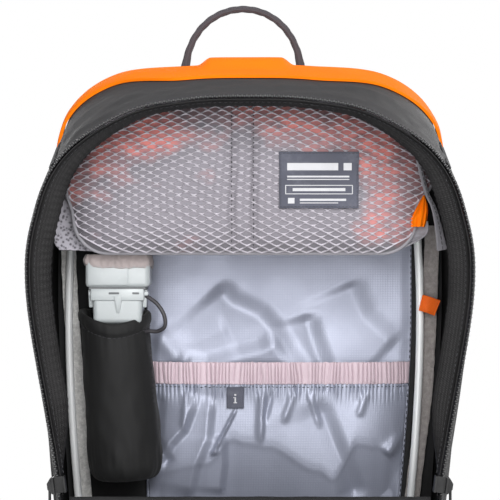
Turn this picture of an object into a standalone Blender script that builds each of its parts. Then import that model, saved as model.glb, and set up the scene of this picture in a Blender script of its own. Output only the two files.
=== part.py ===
"""Avalanche airbag backpack, standing on its base with the front flap unzipped and folded down.

Blender 4.5, metres, +Z up. +X is to the right when the pack is seen from the front, and +Y points
to the wearer's back. The origin is the middle of the flat base, under the middle of the pack.
"""

import math

import bmesh
import bpy
from mathutils import Matrix, Vector

# ---- driving dimensions --------------------------------------------------------------------
BACK_Y = 0.080  # rear edge of the side walls
RIM_Y = -0.120  # front edge of the side walls, where the zip runs
WALL = 0.0022  # thickness of a fabric wall
GAP = 0.0004  # room left between flat pieces that touch
CURVED_GAP = 0.0012  # room left between curved pieces, whose facets differ
BULGE = 0.006  # how far the side walls belly out between their two edges
HINGE_Y = -0.1245
HINGE_Z = 0.2140  # fold line of the front flap
OPEN_ANGLE = math.radians(132.5)  # flap turned this far from closed

# Half outlines (x, z) from the top centre down the right-hand side to the bottom centre.
BACK_OUTLINE = [
    (0.000, 0.552), (0.050, 0.551), (0.108, 0.545), (0.145, 0.519), (0.157, 0.475), (0.160, 0.365),
    (0.154, 0.226), (0.148, 0.140), (0.140, 0.060), (0.126, 0.013), (0.088, 0.000), (0.000, 0.000),
]
RIM_OUTLINE = [
    (0.000, 0.515), (0.046, 0.513), (0.092, 0.503), (0.138, 0.473), (0.160, 0.430), (0.166, 0.365),
    (0.143, 0.226), (0.137, 0.140), (0.130, 0.060), (0.116, 0.013), (0.082, 0.000), (0.000, 0.000),
]

TAPE_THICKNESS = 0.0010
COIL_RADIUS = 0.0008
BODY_COIL_Y = -0.1212
FLAP_COIL_Y = -0.1262
FLAP_EDGE_Y = -0.1285  # inner face of the closed flap, at its edge
FLAP_THICKNESS = 0.0025
FLAP_DOME = 0.014

LINING_Y = 0.0600  # front face of the lining on the back panel
LINING_LEFT = -0.0850  # its left edge, beside the inflator
ROD_RADIUS = 0.0032
ROD_Y = 0.0520
ROD_X = -0.0045  # the frame sits a little to the left
POCKET_TOP_Z = 0.3085
ELASTIC_HEIGHT = 0.018
POUCH_BACK_Y = 0.0400
POUCH_FRONT_Y = -0.0300
POUCH_BOTTOM_Z = 0.3960
INFLATOR_X = -0.1045
INFLATOR_Y = 0.0040
CARTRIDGE_TILT = math.radians(3.5)
CARTRIDGE_TOP = Vector((-0.1055, 0.0060, 0.3350))
STRAP_HINGE = Vector((0.055, 0.0985, 0.472))
HIP_HINGE = Vector((0.104, 0.1000, 0.088))
HAUL_X = -0.0058
HAUL_Y = 0.0875
HAUL_Z = 0.541

COLOURS = {
    # name: (red, green, blue), roughness, metallic
    "black_fabric": ((0.030, 0.030, 0.032), 0.85, 0.0),
    "grey_fabric": ((0.110, 0.110, 0.115), 0.80, 0.0),
    "orange_fabric": ((0.950, 0.330, 0.030), 0.65, 0.0),
    "lining_nylon": ((0.420, 0.430, 0.500), 0.45, 0.0),
    "pouch_mesh": ((0.480, 0.460, 0.490), 0.70, 0.0),
    "airbag_fabric": ((0.850, 0.180, 0.050), 0.60, 0.0),
    "collar_fabric": ((0.430, 0.370, 0.360), 0.85, 0.0),
    "elastic_pink": ((0.700, 0.560, 0.570), 0.70, 0.0),
    "hook_tape": ((0.400, 0.390, 0.380), 0.95, 0.0),
    "neoprene": ((0.015, 0.015, 0.016), 0.75, 0.0),
    "rubber_cord": ((0.060, 0.050, 0.055), 0.60, 0.0),
    "white_plastic": ((0.720, 0.740, 0.740), 0.40, 0.0),
    "black_plastic": ((0.012, 0.012, 0.013), 0.35, 0.0),
    "orange_plastic": ((0.950, 0.180, 0.020), 0.40, 0.0),
    "aluminium": ((0.780, 0.790, 0.800), 0.25, 1.0),
    "steel": ((0.550, 0.560, 0.570), 0.30, 1.0),
    "label_cloth": ((0.180, 0.190, 0.240), 0.80, 0.0),
}


# ---- general helpers -----------------------------------------------------------------------
def clear_scene():
    for obj in list(bpy.data.objects):
        bpy.data.objects.remove(obj, do_unlink=True)


def material(name):
    found = bpy.data.materials.get(name)
    if found:
        return found
    colour, roughness, metallic = COLOURS[name]
    made = bpy.data.materials.new(name)
    made.use_nodes = True
    shader = made.node_tree.nodes["Principled BSDF"]
    shader.inputs["Base Color"].default_value = (*colour, 1.0)
    shader.inputs["Roughness"].default_value = roughness
    shader.inputs["Metallic"].default_value = metallic
    return made


def object_from(name, data, material_name):
    data.materials.append(material(material_name))
    obj = bpy.data.objects.new(name, data)
    bpy.context.scene.collection.objects.link(obj)
    return obj


def mesh_object(name, made, material_name, smooth_angle=35.0):
    """A mesh object from a bmesh, with its faces pointing out."""
    bmesh.ops.recalc_face_normals(made, faces=made.faces)
    mesh = bpy.data.meshes.new(name)
    made.to_mesh(mesh)
    made.free()
    mesh.shade_smooth()
    mesh.set_sharp_from_angle(angle=math.radians(smooth_angle))
    return object_from(name, mesh, material_name)


def spread(low, high, count):
    return [low + (high - low) * i / (count - 1) for i in range(count)]


def smoothstep(low, high, value):
    t = min(1.0, max(0.0, (value - low) / (high - low)))
    return t * t * (3.0 - 2.0 * t)


def spline_point(points, u, before=None, after=None):
    """Catmull-Rom through points, at u from 0 to len(points) - 1."""
    i = min(int(u), len(points) - 2)
    t = u - i
    p1, p2 = Vector(points[i]), Vector(points[i + 1])
    p0 = Vector(points[i - 1]) if i > 0 else Vector(before) if before else 2 * p1 - p2
    p3 = Vector(points[i + 2]) if i + 2 < len(points) else Vector(after) if after else 2 * p2 - p1
    return 0.5 * (
        2 * p1
        + (p2 - p0) * t
        + (2 * p0 - 5 * p1 + 4 * p2 - p3) * t * t
        + (3 * p1 - p0 - 3 * p2 + p3) * t * t * t
    )


def smooth_path(points, count):
    return [spline_point(points, u) for u in spread(0, len(points) - 1, count)]


def loft(name, rings, material_name, looped=False, smooth_angle=35.0):
    """A closed solid through rings of equal length: capped at both ends, or looped last to first."""
    made = bmesh.new()
    rows = [[made.verts.new(p) for p in ring] for ring in rings]
    count = len(rows[0])
    pairs = list(zip(rows, rows[1:])) + ([(rows[-1], rows[0])] if looped else [])
    for near, far in pairs:
        for i in range(count):
            j = (i + 1) % count
            made.faces.new((near[i], near[j], far[j], far[i]))
    if not looped:
        caps = [made.faces.new(rows[0]), made.faces.new(rows[-1])]
        for cap in caps:
            cap.normal_update()
        bmesh.ops.triangulate(made, faces=caps)
    return mesh_object(name, made, material_name, smooth_angle)


def slab(name, front, back, material_name):
    """A closed solid between two grids of points, each a list of rows."""
    made = bmesh.new()
    grids = [[[made.verts.new(p) for p in row] for row in grid] for grid in (front, back)]
    rows, columns = len(front), len(front[0])
    for grid in grids:
        for i in range(rows - 1):
            for j in range(columns - 1):
                made.faces.new((grid[i][j], grid[i][j + 1], grid[i + 1][j + 1], grid[i + 1][j]))
    border = [(0, j) for j in range(columns - 1)]
    border += [(i, columns - 1) for i in range(rows - 1)]
    border += [(rows - 1, j) for j in range(columns - 1, 0, -1)]
    border += [(i, 0) for i in range(rows - 1, 0, -1)]
    for (i, j), (k, m) in zip(border, border[1:] + border[:1]):
        made.faces.new((grids[0][i][j], grids[0][k][m], grids[1][k][m], grids[1][i][j]))
    return mesh_object(name, made, material_name)


def rounded_box(name, low, high, material_name, radius=0.0015, segments=1):
    """A box between two corners with bevelled edges, its origin in its middle."""
    low, high = Vector(low), Vector(high)
    made = bmesh.new()
    bmesh.ops.create_cube(made, size=1.0)
    bmesh.ops.scale(made, vec=high - low, verts=made.verts)
    obj = mesh_object(name, made, material_name)
    obj.location = (low + high) / 2
    bevel = obj.modifiers.new("Bevel", "BEVEL")
    bevel.width = radius
    bevel.segments = segments
    return obj


def turned(name, profile, place, material_name, sides=20, looped=False):
    """A solid of revolution about local Z from (radius, z) pairs, put in place by a matrix."""
    angles = [2 * math.pi * i / sides for i in range(sides)]
    rings = [[Vector((r * math.cos(a), r * math.sin(a), z)) for a in angles] for r, z in profile]
    obj = loft(name, rings, material_name, looped)
    obj.matrix_world = place
    return obj


def tube(name, points, radius, material_name, resolution=2):
    """A round bar or cord along points, as a curve with a bevel and filled caps."""
    curve = bpy.data.curves.new(name, "CURVE")
    curve.dimensions = "3D"
    curve.bevel_depth = radius
    curve.bevel_resolution = resolution
    curve.use_fill_caps = True
    line = curve.splines.new("POLY")
    line.points.add(len(points) - 1)
    for point, place in zip(line.points, points):
        point.co = (*place, 1.0)
    return object_from(name, curve, material_name)


def band(name, centres, across, half_widths, thicknesses, material_name):
    """A padded strap: a flat rounded section swept along centres, wide along the across vectors."""
    rings = []
    for i, centre in enumerate(centres):
        forward = centres[min(i + 1, len(centres) - 1)] - centres[max(i - 1, 0)]
        forward.normalize()
        side = (across[i] - forward * across[i].dot(forward)).normalized()
        normal = forward.cross(side)
        half, thick = half_widths[i], thicknesses[i] / 2
        edge = min(thick * 0.8, half * 0.5)
        section = [
            (-half, -thick + edge), (-half + edge, -thick), (half - edge, -thick), (half, -thick + edge),
            (half, thick - edge), (half - edge, thick), (-half + edge, thick), (-half, thick - edge),
        ]
        rings.append([centre + side * a + normal * b for a, b in section])
    return loft(name, rings, material_name)


def helper(obj):
    """Marks an object that only cuts or joins another."""
    obj.hide_render = True
    obj.display_type = "WIRE"
    return obj


def boolean(obj, other, operation="DIFFERENCE"):
    modifier = obj.modifiers.new(operation.title(), "BOOLEAN")
    modifier.operation = operation
    modifier.object = helper(other)


def attach(name, place, *objects):
    """Parents objects, built where they belong, to an empty on their joint's axis."""
    empty = bpy.data.objects.new(name, None)
    empty.location = place
    bpy.context.scene.collection.objects.link(empty)
    for obj in objects:
        obj.parent = empty
        obj.matrix_parent_inverse = Matrix.Translation(-Vector(place))
    return empty


def mirrored(point, side):
    return Vector((point[0] * side, point[1], point[2]))


# ---- the pack's own surface ----------------------------------------------------------------
def outline_point(keys, s):
    """(x, z) on an outline. s is 0 at the top centre, 1 and -1 at the bottom centre."""
    before = (-keys[1][0], keys[1][1])
    after = (-keys[-2][0], keys[-2][1])
    x, z = spline_point(keys, abs(s) * (len(keys) - 1), before, after)
    return Vector((math.copysign(x, s), max(z, 0.0)))


def outline_normal(keys, s):
    step = 0.004
    ahead, behind = outline_point(keys, min(1, s + step)), outline_point(keys, max(-1, s - step))
    run = (ahead - behind).normalized()
    return Vector((-run.y, run.x))


def wall_point(s, v, inset=0.0):
    """A point of the wall's outer surface, moved in by inset. v is 0 at the rim, 1 at the back."""
    flat = outline_point(RIM_OUTLINE, s).lerp(outline_point(BACK_OUTLINE, s), v)
    normal = outline_normal(RIM_OUTLINE, s).lerp(outline_normal(BACK_OUTLINE, s), v).normalized()
    belly = BULGE * math.sin(math.pi * v)
    belly *= smoothstep(0.0, 0.08, flat.y) * (1 - smoothstep(0.33, 0.46, flat.y))
    flat += normal * (belly - inset)
    return Vector((flat.x, RIM_Y + (BACK_Y - RIM_Y) * v, flat.y))


def v_at(y):
    return (y - RIM_Y) / (BACK_Y - RIM_Y)


def s_at_height(z, keys=RIM_OUTLINE):
    """s on the right-hand side at which the outline is z high."""
    low, high = 0.1, 0.9
    for _ in range(40):
        middle = (low + high) / 2
        if outline_point(keys, middle).y > z:
            low = middle
        else:
            high = middle
    return low


def wall_slab(name, s_range, v_range, inset, thickness, material_name, rows=16, columns=6):
    def grid(depth):
        return [[wall_point(s, v, depth) for v in spread(*v_range, columns)] for s in spread(*s_range, rows)]

    return slab(name, grid(inset), grid(inset + thickness), material_name)


def wall_loop(y, inset, count=48):
    """The whole outline at depth y as a closed ring, moved in by inset."""
    return [wall_point(-1 + 2 * i / count, v_at(y), inset) for i in range(count)]


def dished_plate(name, ring, scales, front_y, back_y, material_name):
    """A plate facing -Y whose ring shrinks by scales. front_y and back_y give y for each scale."""
    centre = sum(ring, Vector()) / len(ring)

    def shrunk(scale, y):
        return [Vector((*(centre + (p - centre) * scale).xz, y)).xzy for p in ring]

    rings = [shrunk(f, front_y(f)) for f in reversed(scales)] + [shrunk(f, back_y(f)) for f in scales]
    return loft(name, rings, material_name)


# ---- shell ---------------------------------------------------------------------------------
S_TOP_SEAM = 0.30  # where the top gusset meets the side walls
S_BASE_SEAM = 0.80  # where the side walls meet the base
SEAM = 0.0008


def make_walls():
    wall_slab("top_gusset", (-S_TOP_SEAM, S_TOP_SEAM), (0, 1), 0, WALL, "grey_fabric", rows=21)
    for word, side in (("left", -1), ("right", 1)):
        ends = (side * (S_TOP_SEAM + SEAM), side * (S_BASE_SEAM - SEAM))
        wall_slab("side_panel_" + word, ends, (0, 1), 0, WALL, "black_fabric", rows=23, columns=5)
    base = []
    for depth in (0.0, WALL):
        row = spread(S_BASE_SEAM + SEAM, 1.0, 7)
        turns = row + [-s for s in reversed(row[:-1])]
        base.append([[wall_point(s, v, depth) for v in spread(0, 1, 4)] for s in turns])
    slab("base_panel", *base, "black_fabric")


def make_release_cover():
    """The orange band over the rear of the top, which the airbag bursts out from."""
    reach, rear_v, thick = 0.42, 0.995, 0.0016
    tab_half, tab_rise, tab_s = 0.070, 0.0070, -0.006

    def grid(depth, rise):
        rows = []
        for s in spread(-reach, reach, 41):
            lift = rise * (1 - smoothstep(tab_half * 0.72, tab_half, abs(s - tab_s)))
            front_v = 0.57 + 0.25 * smoothstep(0.10, reach, abs(s))
            row = []
            for t in spread(0, 1, 6):
                v = front_v + (rear_v - front_v) * t
                row.append(wall_point(s, v, -depth - lift * smoothstep(0.3, 0.8, t)))
            rows.append(row)
        return rows

    slab("release_cover", grid(GAP, 0.0), grid(GAP + thick, tab_rise), "orange_fabric")


def make_back_panel():
    """Foam back panel that plugs the rear of the walls, with a hole for the release cable."""
    rings = [wall_loop(y, WALL + CURVED_GAP) for y in (0.0640, BACK_Y)]
    panel = loft("back_panel", rings, "black_fabric")
    place = Matrix.Translation(CABLE_HOLE) @ Matrix.Rotation(math.pi / 2, 4, "X")
    cutter = turned("cable_hole_cutter", [(0.0042, -0.03), (0.0042, 0.03)], place, "black_fabric", 12)
    boolean(panel, cutter)


def make_front():
    """Lower front panel, and the piping along the fold of the flap."""
    low_s = s_at_height(HINGE_Z - 0.004)
    half = spread(low_s, 1.0, 16)
    turns = half + [-s for s in reversed(half[:-1])]
    ring = [wall_point(s, 0, WALL + CURVED_GAP) for s in turns]
    edge, thick, dome = RIM_Y + 0.0010, 0.0024, 0.006
    dished_plate(
        "lower_front_panel", ring, (1.0, 0.85, 0.55),
        lambda f: edge - dome * (1 - f * f), lambda f: edge + thick - dome * (1 - f * f), "black_fabric",
    )
    half_length = outline_point(RIM_OUTLINE, low_s).x - 0.004
    tube(
        "hinge_piping",
        [Vector((x, HINGE_Y, HINGE_Z)) for x in spread(-half_length, half_length, 3)],
        0.0018, "black_fabric",
    )


def make_body_zip():
    """Tape inside the rim and the coil of teeth on its edge."""
    reach = s_at_height(HINGE_Z + 0.004)
    tape_width = 0.100  # as a share of the wall's depth
    wall_slab(
        "zip_tape_body", (-reach, reach), (0.002, tape_width), WALL + CURVED_GAP, TAPE_THICKNESS,
        "black_fabric", rows=49, columns=2,
    )
    path = [wall_point(s, 0, WALL / 2) for s in spread(-reach, reach, 57)]
    tube("zip_coil_body", [Vector((p.x, BODY_COIL_Y, p.z)) for p in path], COIL_RADIUS, "black_plastic")


# ---- front flap ----------------------------------------------------------------------------
def make_flap():
    """The front panel, built closed over the rim and then folded down about its hinge."""
    reach = s_at_height(HINGE_Z + 0.006)
    ring = [wall_point(s, 0, 0.0006) for s in spread(-reach, reach, 41)]

    def inner(f):
        return FLAP_EDGE_Y - FLAP_DOME * (1 - f ** 2)

    flap = dished_plate(
        "front_flap", ring, (1.0, 0.9, 0.7, 0.4), lambda f: inner(f) - FLAP_THICKNESS, inner, "black_fabric"
    )
    path = [wall_point(s, 0, WALL / 2) for s in spread(-reach, reach, 57)]
    path = [Vector((p.x, FLAP_COIL_Y, p.z)) for p in path]
    coil = tube("zip_coil_flap", path, COIL_RADIUS, "black_plastic")
    pocket_share, pocket_depth = 0.80, 0.016
    pocket = dished_plate(
        "flap_pocket", ring, tuple(pocket_share * f for f in (1.0, 0.93, 0.75, 0.4)),
        lambda f: inner(f) - FLAP_THICKNESS - GAP - 0.002 - pocket_depth * (1 - (f / pocket_share) ** 4),
        lambda f: inner(f) - FLAP_THICKNESS - GAP, "grey_fabric",
    )
    fold = attach("flap_hinge_axis", (0, HINGE_Y, HINGE_Z), flap, coil, pocket)
    fold.rotation_euler.x = OPEN_ANGLE


# ---- zip sliders ---------------------------------------------------------------------------
SLIDER_Z = 0.2265
SLIDER_LENGTH = 0.012
PLATE = 0.0014
PLATE_CLEAR = 0.0012
PULLER_LENGTH = 0.024
SLIDER_MIDDLE = 0.1237  # how far in front of the origin the puller's pivot is
LUG_NEAR = 0.0034
LUG_FAR = 0.0046


def slider_frame(side):
    """(point on the rim, direction out of the wall, direction up the rim) at a slider."""
    s = side * s_at_height(SLIDER_Z)
    normal = outline_normal(RIM_OUTLINE, s)
    out = Vector((normal.x, 0, normal.y))
    up = out.cross(Vector((0, 1, 0)))
    rim = wall_point(s, 0)
    return Vector((rim.x, 0, rim.z)), out, up if up.z > 0 else -up


def slider_section():
    """Outline of a slider as (out of the wall, forward) pairs, and the indices of its lug tips."""
    outer_low = PLATE_CLEAR
    outer_high = outer_low + PLATE
    inner_high = -(WALL + CURVED_GAP + TAPE_THICKNESS + PLATE_CLEAR)
    inner_low = inner_high - PLATE
    rear, post_rear, post_front = 0.1165, 0.1230, 0.1244
    inner_front, outer_front = 0.1275, 0.1310
    flat = [
        (inner_low, rear), (inner_high, rear), (inner_high, post_rear), (outer_low, post_rear),
        (outer_low, rear), (outer_high, rear), (outer_high, SLIDER_MIDDLE - LUG_FAR),
        (outer_high, SLIDER_MIDDLE - LUG_FAR), (outer_high, SLIDER_MIDDLE - LUG_NEAR),
        (outer_high, SLIDER_MIDDLE - LUG_NEAR), (outer_high, SLIDER_MIDDLE + LUG_NEAR),
        (outer_high, SLIDER_MIDDLE + LUG_NEAR), (outer_high, SLIDER_MIDDLE + LUG_FAR),
        (outer_high, SLIDER_MIDDLE + LUG_FAR), (outer_high, outer_front), (outer_low, outer_front),
        (outer_low, post_front), (inner_high, post_front), (inner_high, inner_front),
        (inner_low, inner_front),
    ]
    return flat, (7, 8, 11, 12)


def make_slider(word, side):
    """A slider gripping the rim's tape, and its puller, which hangs between two lugs."""
    rim, out, up = slider_frame(side)
    flat, tips = slider_section()

    def ring(lug_height, along):
        points = []
        for i, (away, forward) in enumerate(flat):
            away += lug_height if i in tips else 0.0
            points.append(rim + out * away + up * along - Vector((0, forward, 0)))
        return points

    half, lug_half, low_lug, high_lug = SLIDER_LENGTH / 2, 0.0022, 0.0008, 0.0038
    rings = [ring(low_lug, -half), ring(high_lug, -lug_half), ring(high_lug, lug_half), ring(low_lug, half)]
    slider = loft("zip_slider_" + word, rings, "black_plastic")
    travel = attach(f"zip_slider_{word}_axis", (rim.x, -SLIDER_MIDDLE, rim.z), slider)
    pivot = rim + out * (PLATE_CLEAR + PLATE + 0.0022)
    pivot.y = -SLIDER_MIDDLE
    tab_half, tab_thick = 0.0030, 0.0008
    puller = rounded_box(
        "zip_puller_" + word,
        (pivot.x - tab_thick, pivot.y - tab_half, pivot.z - PULLER_LENGTH),
        (pivot.x + tab_thick, pivot.y + tab_half, pivot.z + 0.0012),
        "black_plastic", 0.0004,
    )
    flip = attach(f"zip_puller_{word}_axis", pivot, puller)
    return travel, flip


# ---- inside the pack -----------------------------------------------------------------------
def lining_x(u, z):
    """x on the grey lining, u from 0 at its left edge to 1 at its right. It narrows to the base."""
    right = 0.112 + 0.0215 * smoothstep(0.0, 0.36, z)
    return LINING_LEFT + (right - LINING_LEFT) * u


def make_lining():
    heights = spread(0.010, 0.470, 8)

    def grid(y):
        return [[Vector((lining_x(u, z), y, z)) for u in spread(0, 1, 5)] for z in heights]

    slab("back_lining", grid(LINING_Y), grid(LINING_Y + 0.0012), "lining_nylon")


def pocket_y(u, z):
    """Depth of the bellied pocket sheet, u from 0 to 1 across it."""
    belly = 0.0150 * (1 - abs(2 * u - 1) ** 5) * smoothstep(0.030, 0.110, z)
    return LINING_Y - GAP - belly


def make_pocket():
    thick = 0.0012
    across = spread(0.01, 0.99, 13)

    def grid(heights, forward):
        return [[Vector((lining_x(u, z), pocket_y(u, z) - forward, z)) for u in across] for z in heights]

    low_edge = POCKET_TOP_Z - ELASTIC_HEIGHT
    sheet = spread(0.030, low_edge - GAP, 7)
    slab("lining_pocket", grid(sheet, thick), grid(sheet, 0.0), "lining_nylon")
    hem = [low_edge, POCKET_TOP_Z]
    slab("pocket_elastic", grid(hem, thick + 0.0012), grid(hem, 0.0), "elastic_pink")
    tag_y = pocket_y(0.4, low_edge) - thick - 0.0020
    low, high = (-0.019, tag_y, 0.2710), (-0.005, tag_y + 0.0010, 0.2870)
    rounded_box("info_tag", low, high, "label_cloth", 0.0003)


def make_frame():
    """Inverted U of aluminium rod, and the two strips of tape that run behind its legs."""
    right = [
        (0.1140, 0.024), (0.1265, 0.110), (0.1365, 0.203), (0.1420, 0.280), (0.1438, 0.345), (0.1422, 0.400),
        (0.1370, 0.455), (0.118, 0.497), (0.080, 0.516), (0.000, 0.521),
    ]
    ring = [Vector((ROD_X - x, ROD_Y, z)) for x, z in right]
    ring += [Vector((ROD_X + x, ROD_Y, z)) for x, z in right[-2::-1]]
    tube("frame_rod", smooth_path(ring, 61), ROD_RADIUS, "aluminium", resolution=3)
    strips = {
        "left": [(-0.1500, 0.420), (-0.1475, 0.3600), (-0.1414, 0.279), (-0.1380, 0.2245), (-0.1280, 0.090)],
        "right": [(0.1500, 0.420), (0.1470, 0.3400), (0.1435, 0.280), (0.1360, 0.2200), (0.1210, 0.090)],
    }
    for word, centre in strips.items():
        path = smooth_path([Vector((x, 0.0574, z)) for x, z in centre], 10)
        across = [Vector((1, 0, 0))] * 10
        band("frame_strip_" + word, path, across, [0.0062] * 10, [0.0014] * 10, "hook_tape")


def pouch_ring(y, inset, count=25):
    """Outline of the airbag pouch: under the top gusset above, flat with round corners below."""
    side_s = s_at_height(POUCH_BOTTOM_Z + 0.045, BACK_OUTLINE)
    upper = [wall_point(s, v_at(y), 0.014 + inset) for s in spread(-side_s, side_s, count)]
    start, end = upper[0], upper[-1]
    bottom = POUCH_BOTTOM_Z + inset
    lower = []
    for corner, turn in ((end, 1), (start, -1)):
        radius = corner.z - bottom
        arc = [
            Vector((corner.x - turn * radius * (1 - math.cos(a)), y, corner.z - radius * math.sin(a)))
            for a in spread(0, math.pi / 2, 6)[1:]
        ]
        lower += arc if turn > 0 else arc[::-1]
    return upper + lower


def squeezed(ring, share, y):
    centre = sum(ring, Vector()) / len(ring)
    scaled = [centre + (p - centre) * share for p in ring]
    return [Vector((p.x, y, p.z)) for p in scaled]


def make_pouch():
    """Mesh pouch, open at the back, with the folded airbag inside and a label on it."""
    skin = 0.0016
    bulge = ((1.0, 0.0), (0.90, -0.015), (0.66, -0.024), (0.30, -0.028))

    def shell(inset, back_y):
        front = pouch_ring(POUCH_FRONT_Y + inset, inset)
        return [pouch_ring(back_y, inset)] + [squeezed(front, f, POUCH_FRONT_Y + y + inset) for f, y in bulge]

    outer, inner = shell(0.0, POUCH_BACK_Y), shell(skin, POUCH_BACK_Y)
    made = bmesh.new()
    layers = [[[made.verts.new(p) for p in ring] for ring in rings] for rings in (outer, inner)]
    count = len(outer[0])
    pairs = [(near, far) for rings in layers for near, far in zip(rings, rings[1:])]
    pairs.append((layers[0][0], layers[1][0]))
    for near, far in pairs:
        for i in range(count):
            j = (i + 1) % count
            made.faces.new((near[i], near[j], far[j], far[i]))
    caps = [made.faces.new(rings[-1]) for rings in layers]
    bmesh.ops.triangulate(made, faces=caps)
    mesh_object("airbag_pouch", made, "pouch_mesh")
    room = skin + 0.004
    loft("airbag", shell(room, POUCH_BACK_Y - 0.004), "airbag_fabric")
    label_y = POUCH_FRONT_Y - 0.0290
    low, high = (0.0225, label_y - 0.0010, 0.4320), (0.0835, label_y, 0.4755)
    rounded_box("pouch_label", low, high, "label_cloth", 0.0003)


def make_inflator():
    """Inflation unit: housing, cover, nozzle and the pin that opens the cartridge."""
    x, y = INFLATOR_X, INFLATOR_Y
    low, high = (x - 0.0250, y - 0.024, 0.3702), (x + 0.0250, y + 0.024, 0.3930)
    rounded_box("inflator_housing", low, high, "white_plastic", 0.004, 2)
    low, high = (x - 0.0200, y - 0.021, 0.3420), (x + 0.0200, y + 0.021, 0.3696)
    cover = rounded_box("inflator_cover", low, high, "white_plastic", 0.004, 2)
    axis = Matrix.Translation((x, y, 0))
    boolean(cover, turned("pin_bore_cutter", [(0.0034, 0.330), (0.0034, 0.362)], axis, "steel", 12))
    profile = [(0.0030, 0.3355), (0.0140, 0.3355), (0.0140, 0.3414), (0.0030, 0.3414)]
    turned("inflator_nozzle", profile, axis, "white_plastic", 20, looped=True)
    profile = [(0.0006, 0.3372), (0.0018, 0.3395), (0.0022, 0.3560), (0.0022, 0.3575)]
    turned("firing_pin", profile, axis, "steel", 12)
    sides = 24
    rings = []
    for radius_share, z in ((1.14, 0.3845), (1.22, 0.3885), (1.17, 0.3952), (1.09, 0.3952), (1.09, 0.3845)):
        ring = []
        for i in range(sides):
            a = 2 * math.pi * i / sides
            c, s = math.cos(a), math.sin(a)
            reach = radius_share * (abs(c) ** 9 + abs(s) ** 9) ** (-1 / 9)
            ring.append(Vector((x + 0.0250 * reach * c, y + 0.0240 * reach * s, z)))
        rings.append(ring)
    loft("airbag_neck", rings, "collar_fabric", looped=True)


def make_cartridge():
    """Gas cartridge hanging in its sleeve below the inflator, leaning in towards the middle."""
    place = Matrix.Translation(CARTRIDGE_TOP) @ Matrix.Rotation(-CARTRIDGE_TILT, 4, "Y")
    body = [
        (0.0085, 0.0000), (0.0085, -0.0080), (0.0130, -0.0100), (0.0200, -0.0150), (0.0245, -0.0240),
        (0.0258, -0.0400), (0.0258, -0.1000), (0.0215, -0.1085), (0.0090, -0.1120),
    ]
    cartridge = turned("gas_cartridge", body, place, "aluminium", 24)
    sleeve = [
        (0.0262, 0.0040), (0.0272, -0.0060), (0.0280, -0.0300), (0.0292, -0.0800), (0.0290, -0.1050),
        (0.0240, -0.1155), (0.0040, -0.1185), (0.0040, -0.1155), (0.0225, -0.1130), (0.0268, -0.1030),
        (0.0272, -0.0800), (0.0264, -0.0300), (0.0252, -0.0060), (0.0240, 0.0040),
    ]
    turned("cartridge_sleeve", sleeve, place, "neoprene", 24, looped=True)
    attach("cartridge_axis", CARTRIDGE_TOP, cartridge)


def make_cords():
    """Elastic cord that keeps the sleeve on, and the release cable's run inside the pack."""
    x = INFLATOR_X
    loop = [
        (x + 0.0218, -0.0110, 0.3640), (x + 0.0300, -0.0135, 0.3615), (x + 0.0370, -0.0145, 0.3540),
        (x + 0.0400, -0.0145, 0.3440), (x + 0.0370, -0.0130, 0.3360), (x + 0.0310, -0.0090, 0.3320),
        (x + 0.0285, -0.0030, 0.3315),
    ]
    tube("retaining_cord", smooth_path([Vector(p) for p in loop], 22), 0.0016, "rubber_cord")
    hole = CABLE_HOLE
    run = [
        (x + 0.0120, INFLATOR_Y + 0.0246, 0.3740), (x + 0.0130, 0.0370, 0.3760), (x + 0.0160, 0.0455, 0.3900),
        (x + 0.0230, 0.0465, 0.4200), (x + 0.0360, 0.0470, 0.4600), (hole.x - 0.0030, 0.0480, 0.4820),
        (hole.x, 0.0560, hole.z), (hole.x, 0.0700, hole.z), (hole.x, 0.0815, hole.z),
    ]
    tube("release_cable_inner", smooth_path([Vector(p) for p in run], 40), 0.0020, "rubber_cord")


CABLE_HOLE = Vector((-0.062, 0.072, 0.4900))


def make_pull_tab():
    """Webbing tab that opens the pouch, folded over the strip beside the right-hand rod."""
    path = [Vector(p) for p in ((0.1397, 0.0460, 0.3570), (0.1465, 0.0440, 0.3550), (0.1530, 0.0450, 0.3525))]
    across = [Vector((0.15, 0, 1))] * 5
    band("pull_tab", smooth_path(path, 5), across, [0.0066] * 5, [0.0022] * 5, "orange_plastic")


# ---- back side -----------------------------------------------------------------------------
def make_back_pads():
    face = BACK_Y + GAP
    rounded_box("lumbar_pad", (-0.092, face, 0.030), (0.092, face + 0.018, 0.128), "black_fabric", 0.006, 2)
    rounded_box("spine_pad", (-0.082, face, 0.150), (0.082, face + 0.014, 0.455), "black_fabric", 0.005, 2)


def strap_path(side):
    """Centreline of a shoulder strap, from its seam at the top to its lower tip."""
    points = [
        (0.055, 0.1010, 0.474), (0.057, 0.1180, 0.492), (0.063, 0.1420, 0.486), (0.072, 0.1600, 0.450),
        (0.086, 0.1690, 0.395), (0.099, 0.1700, 0.335), (0.109, 0.1620, 0.275), (0.117, 0.1470, 0.228),
    ]
    return smooth_path([mirrored(p, side) for p in points], 21)


def strap_frame(side, share):
    """(point, direction down the strap, outward normal) at a share of the strap's length."""
    path = strap_path(side)
    i = round(share * (len(path) - 1))
    down = (path[i + 1] - path[i - 1]).normalized()
    across = Vector((1, 0, 0)) - down * down.x
    across.normalize()
    return path[i], down, across, across.cross(down)


def framed_box(name, frame, low, high, material_name, radius=0.0008):
    """A rounded box whose local axes are across, down and out of the strap."""
    origin, down, across, out = frame
    box = rounded_box(name, low, high, material_name, radius)
    turn = Matrix((across, down, out)).transposed().to_4x4()
    middle = Matrix.Translation((Vector(low) + Vector(high)) / 2)
    box.matrix_world = Matrix.Translation(origin) @ turn @ middle
    return box


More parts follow.
